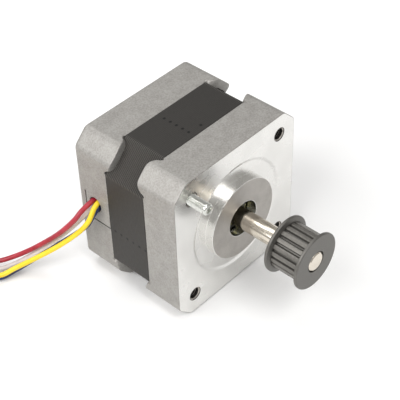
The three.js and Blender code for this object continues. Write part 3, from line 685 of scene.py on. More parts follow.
def coilPath(side, layer, turns):
    # A flat spiral: the radius falls by one turn spacing each turn, and more steeply over the last part,
    # which brings the end inwards, away from the turn round it
    s = leadSettings
    total = turns * 2 * math.pi
    angle = np.linspace(0, total, int(turns * s["pointsPerTurn"]) + 1)
    hook = np.clip((angle - total + s["hookArc"]) / s["hookArc"], 0, 1) ** 2 * s["hookDepth"]
    radius = s["startRadius"] + side * s["strandOffset"] - s["turnSpacing"] * angle / (2 * math.pi) - hook
    turned = s["entryAngle"] + angle
    height = np.full_like(angle, s["highLayer"] if layer else s["lowLayer"])
    centre = s["coilCentre"]
    x, y = centre[0] + radius * np.cos(turned), centre[1] + radius * np.sin(turned)
    return np.stack([x, y, height], axis=-1)


def pathLength(path):
    return np.linalg.norm(np.diff(path, axis=0), axis=1).sum()


def sweepRound(path, radius, sides):
    # A round section carried along a path that is never upright: one axis of the section stays level
    slope = np.gradient(path, axis=0)
    slope /= np.linalg.norm(slope, axis=1)[:, None]
    level = np.cross(slope, [0, 0, 1])
    level /= np.linalg.norm(level, axis=1)[:, None]
    upright = np.cross(level, slope)
    angles = np.arange(sides) * 2 * math.pi / sides
    radius = np.broadcast_to(radius, len(path))[:, None, None]
    return (path[:, None, :] + radius * (level[:, None, :] * np.cos(angles)[None, :, None]
                                         + upright[:, None, :] * np.sin(angles)[None, :, None])), slope


def tubePiece(name, path, radius, sides):
    rings, slope = sweepRound(path, radius, sides)
    rows, columns = rings.shape[:2]
    points = np.concatenate([rings.reshape(-1, 3), path[:1], path[-1:]])
    first, last = np.arange(columns), np.arange(columns) + (rows - 1) * columns
    startFan = np.stack([first, np.roll(first, -1), np.full(columns, rows * columns)], axis=-1)
    endFan = np.stack([np.roll(last, -1), last, np.full(columns, rows * columns + 1)], axis=-1)
    quads = ringFaces(rows, columns, False)[:, ::-1]
    mesh = bpy.data.meshes.new(name)
    mesh.from_pydata(points.tolist(), [], quads.tolist() + startFan.tolist() + endFan.tolist())
    piece = bpy.data.objects.new(name, mesh)
    bpy.context.scene.collection.objects.link(piece)
    smoothShade(piece, 50)
    return piece, slope


tipSettings = {"strandRadius": 0.16 * mm, "layRadius": 0.3 * mm, "length": 3.5 * mm, "strands": 6,
               "twist": 0.9}


def strandTip(name, start, direction):
    # Seven tinned strands, six of them twisted round the middle one: each a helix along the lead's end
    t = tipSettings
    share = np.linspace(0, 1, 14)
    level = np.cross(direction, [0, 0, 1])
    level /= np.linalg.norm(level)
    upright = np.cross(level, direction)
    pieces = []
    for strand in range(t["strands"] + 1):
        lay = 0 if strand == t["strands"] else t["layRadius"]
        angle = strand * 2 * math.pi / t["strands"] + share * t["twist"] * 2 * math.pi
        line = (start + direction * (share * t["length"])[:, None]
                + lay * (np.cos(angle)[:, None] * level + np.sin(angle)[:, None] * upright))
        pieces.append(tubePiece(f"{name}_{strand}", line, t["strandRadius"], 8)[0])
    with bpy.context.temp_override(active_object=pieces[0], selected_editable_objects=pieces):
        bpy.ops.object.join()
    pieces[0].name = name
    return pieces[0]


def makeLeads():
    s = leadSettings
    coilNamed = False
    for colour, route in leadRoutes.items():
        side, layer = leadPlaces[colour]
        laid = np.array(route) * mm
        turns = s["outerTurns"] if side > 0 else s["innerTurns"]
        path = evenly(smoothPath(np.concatenate([laid, coilPath(side, layer, turns)])), s["ringSpacing"])
        piece, slope = tubePiece(f"lead_wire_{colour}", path, s["radius"], s["sides"])
        tip = strandTip(f"lead_end_{colour}", path[-1] - slope[-1] * 0.2 * mm, slope[-1])
        replaced = [f"lead_{colour}"] + ([] if coilNamed else ["lead_coil"])
        coilNamed = True
        finishPiece(piece, "motor_body", f"lead_{colour}", replaced, leadMaterials[colour])
        finishPiece(tip, "motor_body", "tinned_copper", [f"lead_tip_{colour}"], tinnedMaterial)
        print(colour, "lead", round(pathLength(path) * 1000, 1), "mm")


makeLeads()
print("leads laid")


tieSettings = {"width": 2.5 * mm, "thickness": 0.35 * mm, "corner": 1.1 * mm, "headStart": 2.4 * mm,
               "headEnd": 6.4 * mm, "headHalf": 2.1 * mm, "headHeight": 2.0 * mm, "headEdge": 0.35 * mm}


def makeTie():
    # A flat nylon strap round the coil's section: a rounded rectangle in the upright plane through the coil's
    # middle, with a rounded section, and a small head where it locks
    low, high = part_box("lead_coil_tie")
    t = tieSettings
    half = t["thickness"] / 2
    left, right, foot, top = low.x + half, high.x - half, low.z + half, high.z - half
    middleY = (low.y + high.y) / 2
    corners = [(left, foot), (right, foot), (right, top), (left, top)]
    first = ((left + right) / 2, foot)
    bends = [(*corners[k], t["corner"]) for k in (1, 2, 3, 0)]
    loop = roundedLine([(*first, 0), *bends, (*first, 0)], 8, 0.05 * mm)[:-1]
    slope = np.roll(loop, -1, axis=0) - np.roll(loop, 1, axis=0)
    slope /= np.linalg.norm(slope, axis=1)[:, None]
    outward = np.stack([slope[:, 1], -slope[:, 0]], axis=-1)
    bevel = 0.1 * mm
    width = t["width"] / 2
    section = [(half, width - bevel), (half - bevel, width), (-half + bevel, width),
               (-half, width - bevel), (-half, -width + bevel), (-half + bevel, -width),
               (half - bevel, -width), (half, -width + bevel)]
    across = np.array(section)
    flat = loop[:, None, :] + across[None, :, :1] * outward[:, None, :]
    depth = np.broadcast_to(middleY + across[:, 1], flat.shape[:2])
    rings = np.stack([flat[..., 0], depth, flat[..., 1]], axis=-1)
    quads = ringFaces(*rings.shape[:2], True)
    strap = makeMesh("lead_tie", rings.reshape(-1, 3), quads, sharpAbove=40)
    headLow = (left + t["headStart"], middleY - t["headHalf"], top - half)
    headHigh = (left + t["headEnd"], middleY + t["headHalf"], top + t["headHeight"])
    points, faces, fans = blockRaw(headLow, headHigh)
    head = makeMesh("lead_tie_head", points, faces, fans)
    bevelled = head.modifiers.new("rounded", "BEVEL")
    bevelled.width = t["headEdge"]
    bevelled.segments = 3
    finishPiece(strap, "motor_body", "tie_plastic", ["lead_coil_tie"], tieMaterial)
    finishPiece(head, "motor_body", "tie_plastic", [], tieMaterial)


makeTie()


# ---------- end caps ----------

capSettings = {
    "cornerLeg": 3.9, "cornerFillet": 2.2, "rimEdge": 0.2, "lobeLength": 1.9, "lobeHalfWidth": 5.1,
    "lobeWall": 2.2, "lobeGapDepth": 0.5, "notchPlace": 5.75, "notchHalfWidth": 0.5, "notchDepth": 0.38,
    "cavityRadius": 17.6, "pocketRadius": 8.05,
}


def capAngles():
    # Directions round the cap: coarse on the flats, fine where a corner bends and where a lobe starts
    octant = np.concatenate([np.arange(0, 33.0, 2.0), np.arange(33.0, 36.6, 0.1),
                             np.arange(36.6, 45.0, 0.35)])
    quarter = np.concatenate([octant, [45.0], 90 - octant[:0:-1]])
    return np.radians((np.arange(4)[:, None] * 90 + quarter[None, :]).ravel())


def outlineRadius(angles, offset):
    # Where a ray from the axis meets the cap's rounded octagon, drawn in by the offset. The octagon is a
    # smaller one grown by the fillet, so its distance is that to the small one's sides less the fillet.
    # Found by halving.
    c = capSettings
    shrunk = bodyHalf - c["cornerFillet"]
    reach = (2 * bodyHalf - c["cornerLeg"]) / math.sqrt(2) - c["cornerFillet"]
    bend = reach * math.sqrt(2) - shrunk
    ends = np.array([(shrunk, -bend), (shrunk, bend), (bend, shrunk), (-bend, shrunk),
                     (-shrunk, bend), (-shrunk, -bend), (-bend, -shrunk), (bend, -shrunk)])
    sides = np.roll(ends, -1, axis=0) - ends
    direction = np.stack([np.cos(angles), np.sin(angles)], axis=-1)
    low, high = np.full(len(angles), 15.0), np.full(len(angles), 30.0)
    for _ in range(40):
        middle = (low + high) / 2
        p = direction * middle[:, None]
        toEnd = p[:, None, :] - ends[None]
        share = np.clip((toEnd * sides).sum(-1) / (sides ** 2).sum(-1), 0, 1)
        gap = np.linalg.norm(toEnd - share[..., None] * sides, axis=-1).min(1)
        inside = np.maximum(np.abs(p).max(1) - shrunk, np.abs(p).sum(1) / math.sqrt(2) - reach)
        distance = np.where(inside < 0, inside, gap) - c["cornerFillet"] + offset
        low, high = np.where(distance < 0, middle, low), np.where(distance < 0, high, middle)
    return (low + high) / 2


def lobeRise(angles):
    # How far the cap's edge reaches past its flat rim: a rounded lobe over each corner, as a power curve of
    # the distance round from the corner's middle, and a small notch on either side of it
    c = capSettings
    radius = outlineRadius(angles, 0)
    x, z = np.abs(radius * np.cos(angles)), np.abs(radius * np.sin(angles))
    wide, narrow = np.maximum(x, z), np.minimum(x, z)
    bend = bodyHalf - c["cornerLeg"]
    fromMiddle = np.where(narrow > bend, (wide - narrow) / math.sqrt(2),
                          c["cornerLeg"] / math.sqrt(2) + bend - narrow)
    share = np.clip(fromMiddle / c["lobeHalfWidth"], 0, 1)
    rise = c["lobeLength"] * np.sqrt(1 - share ** 2.4)
    notch = np.clip(1 - np.abs(fromMiddle - c["notchPlace"]) / c["notchHalfWidth"], 0, 1) * c["notchDepth"]
    return rise - notch, share < 1


def capPiece(name, outerY, inward, depth, edge, faceLine, innerLine, faceSlotOf):
    # One cast cup as a closed grid: out across the end face, round its edge, along the sides, over the rim
    # and back inside to the bore. Depth is measured from the end face inwards.
    c = capSettings
    angles = capAngles()
    rise, isLobe = lobeRise(angles)
    rim = depth + rise
    radii, depths, rowSlots = [], [], []
    for radius, level in faceLine:
        radii.append(np.full(len(angles), radius))
        depths.append(np.full(len(angles), level))
        rowSlots.append(faceSlotOf(radius, level))
    radii.append(outlineRadius(angles, edge + 0.05))
    depths.append(np.zeros(len(angles)))
    rowSlots.append(faceSlotOf(bodyHalf, 0))
    for turn in np.radians(np.linspace(0, 90, 6)):
        radii.append(outlineRadius(angles, edge * (1 - math.sin(turn))))
        depths.append(np.full(len(angles), edge * (1 - math.cos(turn))))
        rowSlots.append(0)
    outer = outlineRadius(angles, 0)
    small = c["rimEdge"]
    for share in (0.02, 0.5, 1.0):
        radii.append(outer)
        depths.append(edge + 0.05 + (rim - small - edge - 0.1) * share)
        rowSlots.append(0)
    for turn in np.radians(np.linspace(0, 90, 4)):
        radii.append(outlineRadius(angles, small * (1 - math.cos(turn))))
        depths.append(rim - small * (1 - math.sin(turn)))
        rowSlots.append(0)
    wall = outlineRadius(angles, c["lobeWall"])
    gapFloor = np.where(isLobe, depth - c["lobeGapDepth"], rim - 0.02)
    radii += [wall, wall]
    depths += [rim, gapFloor]
    rowSlots += [0, 0]
    for radius, level in innerLine:
        radii.append(np.full(len(angles), radius))
        depths.append(np.full(len(angles), level))
        rowSlots.append(0)
    radii, depths = np.array(radii), np.array(depths)
    rings = around(radii, outerY + inward * depths, angles)
    return ringPiece(name, rings, rowSlots=rowSlots)


def rodRaw(radiusLine, x, z, segments=32):
    # A turned plug for cutting, from (radius, y) pairs, with a pole at each end
    line = np.array(radiusLine, float)
    angles = np.arange(segments) * 2 * math.pi / segments
    rings = around(line[:, :1], line[:, 1:], angles)
    raw = ringPiece("", rings, (0, line[0, 1], 0), (0, line[-1, 1], 0), raw=True)
    return moved(raw, x, z)


boltSettings = {"place": 15.5, "radius": 1.62, "minor": 1.36, "pitch": threadPitch, "countersink": 0.3,
                "headRadius": 3.1, "headDepth": 2.4}
boltCorners = [(-1, 1), (1, 1), (1, -1), (-1, -1)]
boltPlaces = [(x * boltSettings["place"], z * boltSettings["place"]) for x, z in boltCorners]


def tappedHole(x, z, depth):
    # A threaded hole: the plug's radius goes between the thread's minor and major radius every pitch
    b = boltSettings
    line = [(b["radius"] + b["countersink"], -0.6), (b["radius"] + b["countersink"], 0.0),
            (b["minor"], b["radius"] + b["countersink"] - b["minor"])]
    start = line[-1][1] + 0.1
    for k in range(int((depth - start) / b["pitch"])):
        level = start + k * b["pitch"]
        line += [(b["minor"], level), (b["radius"], level + b["pitch"] / 2)]
    line.append((b["minor"], depth + 3))
    return rodRaw(line, x, z, 24)


frontCapSettings = {"noseRadius": 4.85, "noseDepth": 0.95, "bossRadius": 11.0, "bossHeight": 2.0,
                    "recessInner": 14.6, "recessOuter": 15.4, "recessDepth": 0.35, "depth": 10.1,
                    "cavityFloor": 5.6}


def makeFrontCap():
    f, c = frontCapSettings, capSettings
    face = roundedLine([
        (f["noseRadius"], f["noseDepth"], 0), (f["noseRadius"], -f["bossHeight"], 0.07),
        (f["bossRadius"], -f["bossHeight"], 0.08), (f["bossRadius"], f["recessDepth"], 0.06),
        (f["recessInner"], f["recessDepth"], 0.3), (f["recessOuter"], 0, 0.3),
        (f["recessOuter"] + 1, 0, 0)], 4)
    inner = roundedLine([
        (c["cavityRadius"], f["depth"], 0), (c["cavityRadius"], f["cavityFloor"], 0.6),
        (c["pocketRadius"], f["cavityFloor"], 0.2), (c["pocketRadius"], f["noseDepth"], 0),
        (f["noseRadius"] + 0.1, f["noseDepth"], 0)], 4)

    def slotOf(radius, level):
        onBoss = level < -f["bossHeight"] + 0.02 and f["noseRadius"] + 0.1 < radius < f["bossRadius"] - 0.15
        return 2 if onBoss else 1

    cap = capPiece("front_end_cap_cast", 0.0, 1.0, f["depth"], 0.16, face, inner, slotOf)
    for material in (castMaterial, machinedMaterial, blastedMaterial, tappedMaterialPaintedLight):
        cap.data.materials.append(material)
    # The cut hole walls take slot 3: the tapped thread, with painted shade on the flanks and painted highlights on
    # the crests
    carve(cap, [tappedHole(x, z, f["depth"]) for x, z in boltPlaces], cutSlot=3)
    finishPiece(cap, "motor_body", "cast_aluminium", ["front_end_cap"])


rearCapSettings = {"tailRadius": 3.0, "tailDepth": 1.2, "cavityFloor": 3.9, "hubRadius": 9.6, "hubEnd": 6.9,
                   "ringInner": 10.6, "ringOuter": 11.4, "ringDepth": 0.3}
outletSettings = {"front": 22.6, "rear": 30.7, "low": -3.85, "high": 4.45, "depth": 3.0, "lowGap": 0.3,
                  "rearGap": 0.24, "topGap": 0.03,
                  "holeY": 27.35, "holeZ": 1.45, "holeHalfY": 1.9, "holeHalfZ": 2.1}


def makeRearCap():
    r, c, b, o = rearCapSettings, capSettings, boltSettings, outletSettings
    depth = bodyRear - stackRear - 0.02
    face = roundedLine([
        (r["tailRadius"], r["tailDepth"], 0), (r["tailRadius"], 0, 0.2), (r["ringInner"], 0, 0.12),
        (r["ringInner"] + 0.15, r["ringDepth"], 0.12), (r["ringOuter"] - 0.15, r["ringDepth"], 0.12),
        (r["ringOuter"], 0, 0.12), (r["ringOuter"] + 2, 0, 0)], 4)
    inner = roundedLine([
        (c["cavityRadius"], depth, 0), (c["cavityRadius"], r["cavityFloor"], 0.6),
        (r["hubRadius"], r["cavityFloor"], 0.4), (r["hubRadius"], r["hubEnd"], 0.2),
        (c["pocketRadius"], r["hubEnd"], 0.2), (c["pocketRadius"], r["tailDepth"], 0),
        (r["tailRadius"] + 0.1, r["tailDepth"], 0)], 4)
    cap = capPiece("rear_end_cap_cast", bodyRear, -1.0, depth, 0.9, face, inner, lambda radius, level: 0)
    for material in (castMaterial, machinedMaterial):
        cap.data.materials.append(material)
    seat = blockRaw((-bodyHalf - 5, stackRear - 4, o["low"] - 0.05),
                    (-bodyHalf + 2 * o["depth"], o["rear"] + 0.05, o["high"]))
    tools = [seat]
    for x, z in boltPlaces:
        pocket = [(b["radius"], stackRear - 4), (b["radius"], bodyRear - b["headDepth"]),
                  (b["headRadius"], bodyRear - b["headDepth"]), (b["headRadius"], bodyRear - 0.15),
                  (b["headRadius"] + 0.2, bodyRear + 0.05), (b["headRadius"] + 0.2, bodyRear + 2)]
        tools.append(rodRaw(pocket, x, z))
    carve(cap, tools, cutSlot=0)
    finishPiece(cap, "motor_body", "cast_aluminium", ["rear_end_cap"])


def makeOutlet():
    # The lead outlet: a block a hair smaller than its seat, so that a dark line shows round it, with an
    # oval hole
    o = outletSettings
    low = (-bodyHalf, o["front"] + 0.02, o["low"] + o["lowGap"])
    high = (-bodyHalf + o["depth"], o["rear"] - o["rearGap"], o["high"] - o["topGap"])
    points, quads, fans = blockRaw(low, high)
    block = makeMesh("lead_outlet_block", place(points), quads, fans)
    edges = block.modifiers.new("rounded", "BEVEL")
    edges.width = 0.14 * mm
    edges.segments = 3
    angles = np.arange(48) * 2 * math.pi / 48
    grow = np.array([1.12, 1.06, 1.0, 1.0])[:, None]
    level = np.array([-bodyHalf - 1, -bodyHalf + 0.02, -bodyHalf + 0.35, -bodyHalf + 6])[:, None]
    rings = np.stack([np.broadcast_to(level, (4, 48)), o["holeY"] + grow * o["holeHalfY"] * np.cos(angles),
                      o["holeZ"] + grow * o["holeHalfZ"] * np.sin(angles)], axis=-1)
    poles = [(level[0, 0], o["holeY"], o["holeZ"]), (level[-1, 0], o["holeY"], o["holeZ"])]
    block.data.materials.append(castMaterial)
    carve(block, [ringPiece("", rings, *poles, raw=True)], cutSlot=0)
    finishPiece(block, "motor_body", "cast_aluminium", ["lead_outlet_insert"])


makeFrontCap()
makeRearCap()
makeOutlet()
print("caps made")


# ---------- stator stack ----------

def stackOutline():
    # A quarter: one straight side's half, the 45 degree corner and the next half side; then turned four times
    s = stackSettings
    straight = bodyHalf - s["cornerLeg"]
    quarter = roundedLine([(bodyHalf, 0, 0), (bodyHalf, straight, s["cornerRound"]),
                           (straight, bodyHalf, s["cornerRound"]), (0, bodyHalf, 0)], 3)[:-1]
    corner = quarter.sum(1) / math.sqrt(2)
    facet = (2 * bodyHalf - s["cornerLeg"]) / math.sqrt(2)
    onCorner = corner > facet - 0.02
    turns = [np.array([(math.cos(a), math.sin(a)), (-math.sin(a), math.cos(a))])
             for a in np.arange(4) * math.pi / 2]
    return np.concatenate([quarter @ t for t in turns]), np.tile(onCorner, 4)


def polePoint(radius, degrees):
    return radius * math.cos(math.radians(degrees)), radius * math.sin(math.radians(degrees))


def boreOutline():
    # The stack's inside, pole by pole: slot floor, neck, shoe, toothed face, shoe and neck
    s = stackSettings
    step = 360 / s["poles"]
    neckFloor = math.degrees(math.asin(s["neckHalf"] / s["slotFloor"]))
    neckShoe = math.degrees(math.asin(s["neckHalf"] / s["shoeOuter"]))
    tooth = 2 * s["shoeHalfAngle"] / (2 * s["shoeTeeth"] - 1)
    points = []
    for pole in range(s["poles"]):
        middle = pole * step
        points += [polePoint(s["slotFloor"], middle + k) for k in (-step / 2, -step / 4, -neckFloor)]
        points += [polePoint(s["shoeOuter"], middle - neckShoe),
                   polePoint(s["shoeOuter"] - 0.5, middle - s["shoeHalfAngle"])]
        for k in range(s["shoeTeeth"]):
            start = middle - s["shoeHalfAngle"] + 2 * k * tooth
            points += [polePoint(s["bore"], start), polePoint(s["bore"], start + tooth)]
            if k < s["shoeTeeth"] - 1:
                gap = s["bore"] + 0.5
                points += [polePoint(gap, start + tooth), polePoint(gap, start + 2 * tooth)]
        points += [polePoint(s["shoeOuter"] - 0.5, middle + s["shoeHalfAngle"]),
                   polePoint(s["shoeOuter"], middle + neckShoe),
                   polePoint(s["slotFloor"], middle + neckFloor),
                   polePoint(s["slotFloor"], middle + step / 4)]
    return np.array(points)


def makeStack():
    # Thin sheets pressed together: a shallow groove between each two, deeper on the cut corners
    s = stackSettings
    outline, onCorner = stackOutline()
    thickness = (stackRear - stackFront) / s["sheets"]
    groove = np.where(onCorner, s["cornerGroove"], s["sideGroove"])
    inward = outline / np.linalg.norm(outline, axis=1)[:, None]
    levels, depths = [], []
    for sheet in range(s["sheets"]):
        start = stackFront + sheet * thickness
        levels += [start, start + thickness * 0.3, start + thickness * 0.7]
        depths += [1.0, 0.0, 0.0]
    levels.append(stackRear)
    depths.append(1.0)
    drawnIn = np.array(depths)[:, None, None] * groove[None, :, None] * inward[None]
    flat = outline[None] - drawnIn
    along = np.broadcast_to(np.array(levels)[:, None], flat.shape[:2])
    rings = np.stack([flat[..., 0], along, flat[..., 1]], axis=-1)
    stack = ringPiece("stator_sheets", rings, (0, stackFront, 0), (0, stackRear, 0), sharpAbove=25)
    stack.data.materials.append(stackMaterial)
    bore = boreOutline()
    ends = np.array([stackFront - 1, stackRear + 1])
    boreRings = np.stack([np.broadcast_to(bore[:, 0], (2, len(bore))),
                          np.repeat(ends[:, None], len(bore), 1),
                          np.broadcast_to(bore[:, 1], (2, len(bore)))], axis=-1)
    tools = [ringPiece("", boreRings, (0, ends[0], 0), (0, ends[1], 0), raw=True)]
    plug = [(boltSettings["radius"], stackFront - 1), (boltSettings["radius"], stackRear + 1)]
    tools += [rodRaw(plug, x, z, 20) for x, z in boltPlaces]
    carve(stack, tools, cutSlot=0, sharpAbove=25)
    finishPiece(stack, "motor_body", "lamination_steel", ["stator_core"])


makeStack()
print("stack made")


# ---------- screws ----------

def threadedRod(name, x, z, radius, pitch, depth, start, end, fade, tipLine, startLine, columns=48):
    # A helical thread: the radius at height y and angle a is a triangle wave of (y / pitch - a / full turn),
    # fading out at both ends; the tip's own rings follow
    angles = np.arange(columns) * 2 * math.pi / columns
    rows = int(abs(end - start) / pitch * 10)
    levels = np.linspace(start, end, rows)[:, None]
    phase = (levels / pitch - angles[None] / (2 * math.pi)) % 1
    wave = np.abs(phase * 2 - 1)
    strength = np.clip(np.minimum(np.abs(levels - start), np.abs(levels - end)) / fade, 0, 1)
    radii = radius - depth * wave * strength
    body = around(radii, levels, angles)
    before = [around(np.full(columns, r), y, angles) for r, y in startLine]
    after = [around(np.full(columns, r) if np.isscalar(r) else r(angles), y, angles) for r, y in tipLine]
    rings = np.concatenate([np.array(before), body, np.array(after)])
    poles = [(0, startLine[0][1], 0), (0, tipLine[-1][1], 0)]
    points, quads, fans = ringPiece("", rings, *poles, raw=True)
    return makeMesh(name, place(points + np.array([x, 0, z])), quads, fans, sharpAbove=40)


def hexRadius(across):
    # The distance from the middle to a hexagon's side, by direction
    def radius(angles):
        inSide = (angles + math.pi / 6) % (math.pi / 3) - math.pi / 6
        return across / 2 / np.cos(inSide)
    return radius


setScrewSettings = {"radius": 1.49, "pitch": threadPitch, "threadDepth": 0.3, "rounding": 0.6, "socket": 1.5}


def makeSetScrew():
    s = setScrewSettings
    inner, outer = nodeSpan("mounting_set_screw", 1)[1], nodeSpan("mounting_set_screw", 1)[0]
    x, z = boltPlaces[0]
    turns = np.radians(np.linspace(15, 90, 6))
    tip = [(s["radius"] - s["rounding"] * (1 - math.cos(t)), outer + s["rounding"] * (1 - math.sin(t)))
           for t in turns]
    hexagon = hexRadius(s["socket"])
    rim = s["radius"] - s["rounding"] - 0.04
    tip += [(rim, outer), (lambda a: np.minimum(hexagon(a) + 0.02, rim), outer + 0.04),
            (hexagon, outer + 0.12), (hexagon, outer + 0.55), (lambda a: hexagon(a) * 0.4, outer + 0.7)]
    start = [(s["radius"] - 0.5, inner), (s["radius"] - 0.05, inner - 0.4)]
    screw = threadedRod("mounting_stud", x, z, s["radius"], s["pitch"], s["threadDepth"], inner - 0.45,
                        outer + s["rounding"] + 0.02, 0.5, tip, start)
    finishPiece(screw, "motor_body", "zinc_plate", ["mounting_set_screw"], zincMaterial)


caseScrewSettings = {"shank": 1.48, "headRadius": 2.7, "slotHalf": 0.33, "slotReach": 1.5}


def makeCaseScrews():
    # Pan head screws with a cross recess, their heads below the rear face
    s = caseScrewSettings
    for i, (x, z) in enumerate(boltPlaces):
        low, high = nodeSpan(f"case_screw_{i + 1}", 1)
        seat = high - 2.0
        line = roundedLine([(0, low, 0), (s["shank"] - 0.2, low, 0.1), (s["shank"], low + 0.5, 0.2),
                            (s["shank"], seat, 0),
                            (s["headRadius"], seat, 0.1), (s["headRadius"], seat + 1.25, 0.45),
                            (1.9, high, 0.5), (0, high, 0)], 4)[1:-1]
        angles = np.arange(40) * 2 * math.pi / 40
        raw = ringPiece("", around(line[:, :1], line[:, 1:], angles), (0, low, 0), (0, high, 0), raw=True)
        points, quads, fans = moved(raw, x, z)
        screw = makeMesh(f"case_screw_head_{i + 1}", place(points), quads, fans)
        screw.data.materials.append(zincMaterial)
        spread = [(s["slotReach"], s["slotHalf"]), (s["slotHalf"], s["slotReach"])]
        tools = [moved(blockRaw((-a, high - 1.1, -b), (a, high + 1, b)), x, z) for a, b in spread]
        carve(screw, tools, cutSlot=0)
        finishPiece(screw, "motor_body", "zinc_plate", [f"case_screw_{i + 1}"])


makeSetScrew()
makeCaseScrews()
print("screws made")


# ---------- bearings ----------

bearingSettings = {"outer": 8.0, "bore": 2.52, "landDrop": 0.85, "pitchRadius": 5.3, "ball": 1.25, "balls": 7,
                   "race": 1.3, "ribbon": 0.16}


def raceArc(middle, side):
    # The groove the balls run in, as an arc about the balls' middle, from one land to the other
    b = bearingSettings
    half = math.sqrt(b["race"] ** 2 - b["landDrop"] ** 2)
    y = np.linspace(-half, half, 13)
    return [(b["pitchRadius"] + side * math.sqrt(b["race"] ** 2 - v ** 2), middle + v, 0) for v in y]


def makeBearing(end):
    b = bearingSettings
    front, rear = nodeSpan(f"{end}_bearing_outer_ring", 1)
    middle = (front + rear) / 2
    outerLand, innerLand = b["pitchRadius"] + b["landDrop"], b["pitchRadius"] - b["landDrop"]
    outerLine = [(outerLand, front, 0.1), (b["outer"], front, 0.3),
                 (b["outer"], rear, 0.3), (outerLand, rear, 0.1)] + raceArc(middle, 1)[::-1]
    innerLine = [(innerLand, front, 0.1), (b["bore"], front, 0.25),
                 (b["bore"], rear, 0.25), (innerLand, rear, 0.1)] + raceArc(middle, -1)[::-1]
    outerRing = turnedPiece(f"{end}_bearing_outer", outerLine, 72, closedLoop=True)
    innerRing = turnedPiece(f"{end}_bearing_inner", innerLine, 60, closedLoop=True)
    finishPiece(outerRing, "motor_body", "bearing_steel", [f"{end}_bearing_outer_ring"], bearingMaterial)
    finishPiece(innerRing, "rotor", "bearing_steel", [f"{end}_bearing_inner_ring"], innerRingMaterialPaintedShade)
    pieces = [ballPiece(f"{end}_ball_{k}", middle, k * 2 * math.pi / b["balls"]) for k in range(b["balls"])]
    pieces += [ribbonPiece(f"{end}_cage_{side}", middle, side) for side in (-1, 1)]
    with bpy.context.temp_override(active_object=pieces[0], selected_editable_objects=pieces):
        bpy.ops.object.join()
    pieces[0].name = f"{end}_bearing_ball_cage"
    finishPiece(pieces[0], f"{end}_ball_set", "bearing_steel", [f"{end}_bearing_balls"], cageMaterial)


def ballPiece(name, middle, angle):
    b = bearingSettings
    tilt = np.radians(np.linspace(0, 180, 15))[1:-1]
    around24 = np.arange(24) * 2 * math.pi / 24
    rings = around(b["ball"] * np.sin(tilt)[:, None], b["ball"] * np.cos(tilt)[:, None], around24)
    points, quads, fans = ringPiece("", rings, (0, b["ball"], 0), (0, -b["ball"], 0), raw=True)
    centre = np.array([b["pitchRadius"] * math.cos(angle), middle, b["pitchRadius"] * math.sin(angle)])
    return makeMesh(name, place(points + centre), quads, fans, sharpAbove=60)


def ribbonPiece(name, middle, side):
    # Half of a pressed cage: a ribbon round the pitch circle that bulges out over each ball
    b = bearingSettings
    columns = b["balls"] * 24
    angles = np.arange(columns) * 2 * math.pi / columns
    wave = np.clip(np.cos(angles * b["balls"]), 0, 1) ** 0.5
    lift = side * (0.12 + wave * (b["ball"] + 0.06))
    half, thick = 0.55, b["ribbon"]
    corners = [(-half, 0), (half, 0), (half, thick), (-half, thick)]
    rings = np.array([around(b["pitchRadius"] + dr, middle + lift + side * dy, angles) for dr, dy in corners])
    points, quads, fans = ringPiece("", rings, raw=True)
    return makeMesh(name, place(points), quads, fans, sharpAbove=40)


for bearingEnd in ("front", "rear"):
    makeBearing(bearingEnd)
print("bearings made")


# ---------- shaft and pulley ----------

shaftSettings = {"radius": 2.5, "chamfer": 0.28}


def makeShaft():
    s = shaftSettings
    tip, tail = nodeSpan("motor_shaft", 1)
    r, k = s["radius"], s["chamfer"]
    line = [(0, tip, 0), (r - k, tip, 0.06), (r, tip + k, 0.1),
            (r, tail - k, 0.1), (r - k, tail, 0.06), (0, tail, 0)]
    shaft = turnedPiece("rotor_shaft", line, 96)
    finishPiece(shaft, "rotor", "shaft_steel", ["motor_shaft"], shaftMaterial)


pulleyShape = {"teeth": 20, "tip": 6.112, "grooveDepth": 0.66, "grooveTopHalf": 0.43, "grooveFloorHalf": 0.22,
               "firstGroove": 12.0, "bore": 2.53, "spigot": 2.8, "flange": 7.45, "flangeThickness": 1.1,
               "spigotSetBack": 0.5}


def makeToothedBody():
    # One tooth's outline, unrolled and with rounded corners, is wrapped round the axis once for each tooth
    p = pulleyShape
    half = math.pi * p["tip"] / p["teeth"]
    floor = p["tip"] - p["grooveDepth"]
    profile = roundedLine([(-half, p["tip"], 0), (-p["grooveTopHalf"], p["tip"], 0.12),
                           (-p["grooveFloorHalf"], floor, 0.16), (p["grooveFloorHalf"], floor, 0.16),
                           (p["grooveTopHalf"], p["tip"], 0.12), (half, p["tip"], 0)], 5, 0.03)[:-1]
    pitch = 2 * math.pi / p["teeth"]
    starts = math.radians(p["firstGroove"]) + np.arange(p["teeth"]) * pitch
    angles = (starts[:, None] + profile[None, :, 0] / p["tip"]).ravel()
    radii = np.tile(profile[:, 1], p["teeth"])
    front, rear = pulleyFront + p["flangeThickness"], pulleyRear - p["flangeThickness"]
    plain = [(p["bore"], pulleyFront + p["spigotSetBack"]), (p["spigot"], pulleyFront + p["spigotSetBack"]),
             (p["spigot"], front)]
    plainRear = [(p["spigot"], rear), (p["spigot"], pulleyRear - 0.2), (p["bore"], pulleyRear - 0.2)]
    toothed = [around(radii, y, angles) for y in (front, front + 0.4, rear - 0.4, rear)]
    before = [around(np.full(len(angles), r), y, angles) for r, y in plain]
    after = [around(np.full(len(angles), r), y, angles) for r, y in plainRear]
    body = ringPiece("pulley_teeth", np.array(before + toothed + after), sharpAbove=38)
    finishPiece(body, "rotor", "pulley_steel", ["pulley_toothed_body"], toothMaterial)


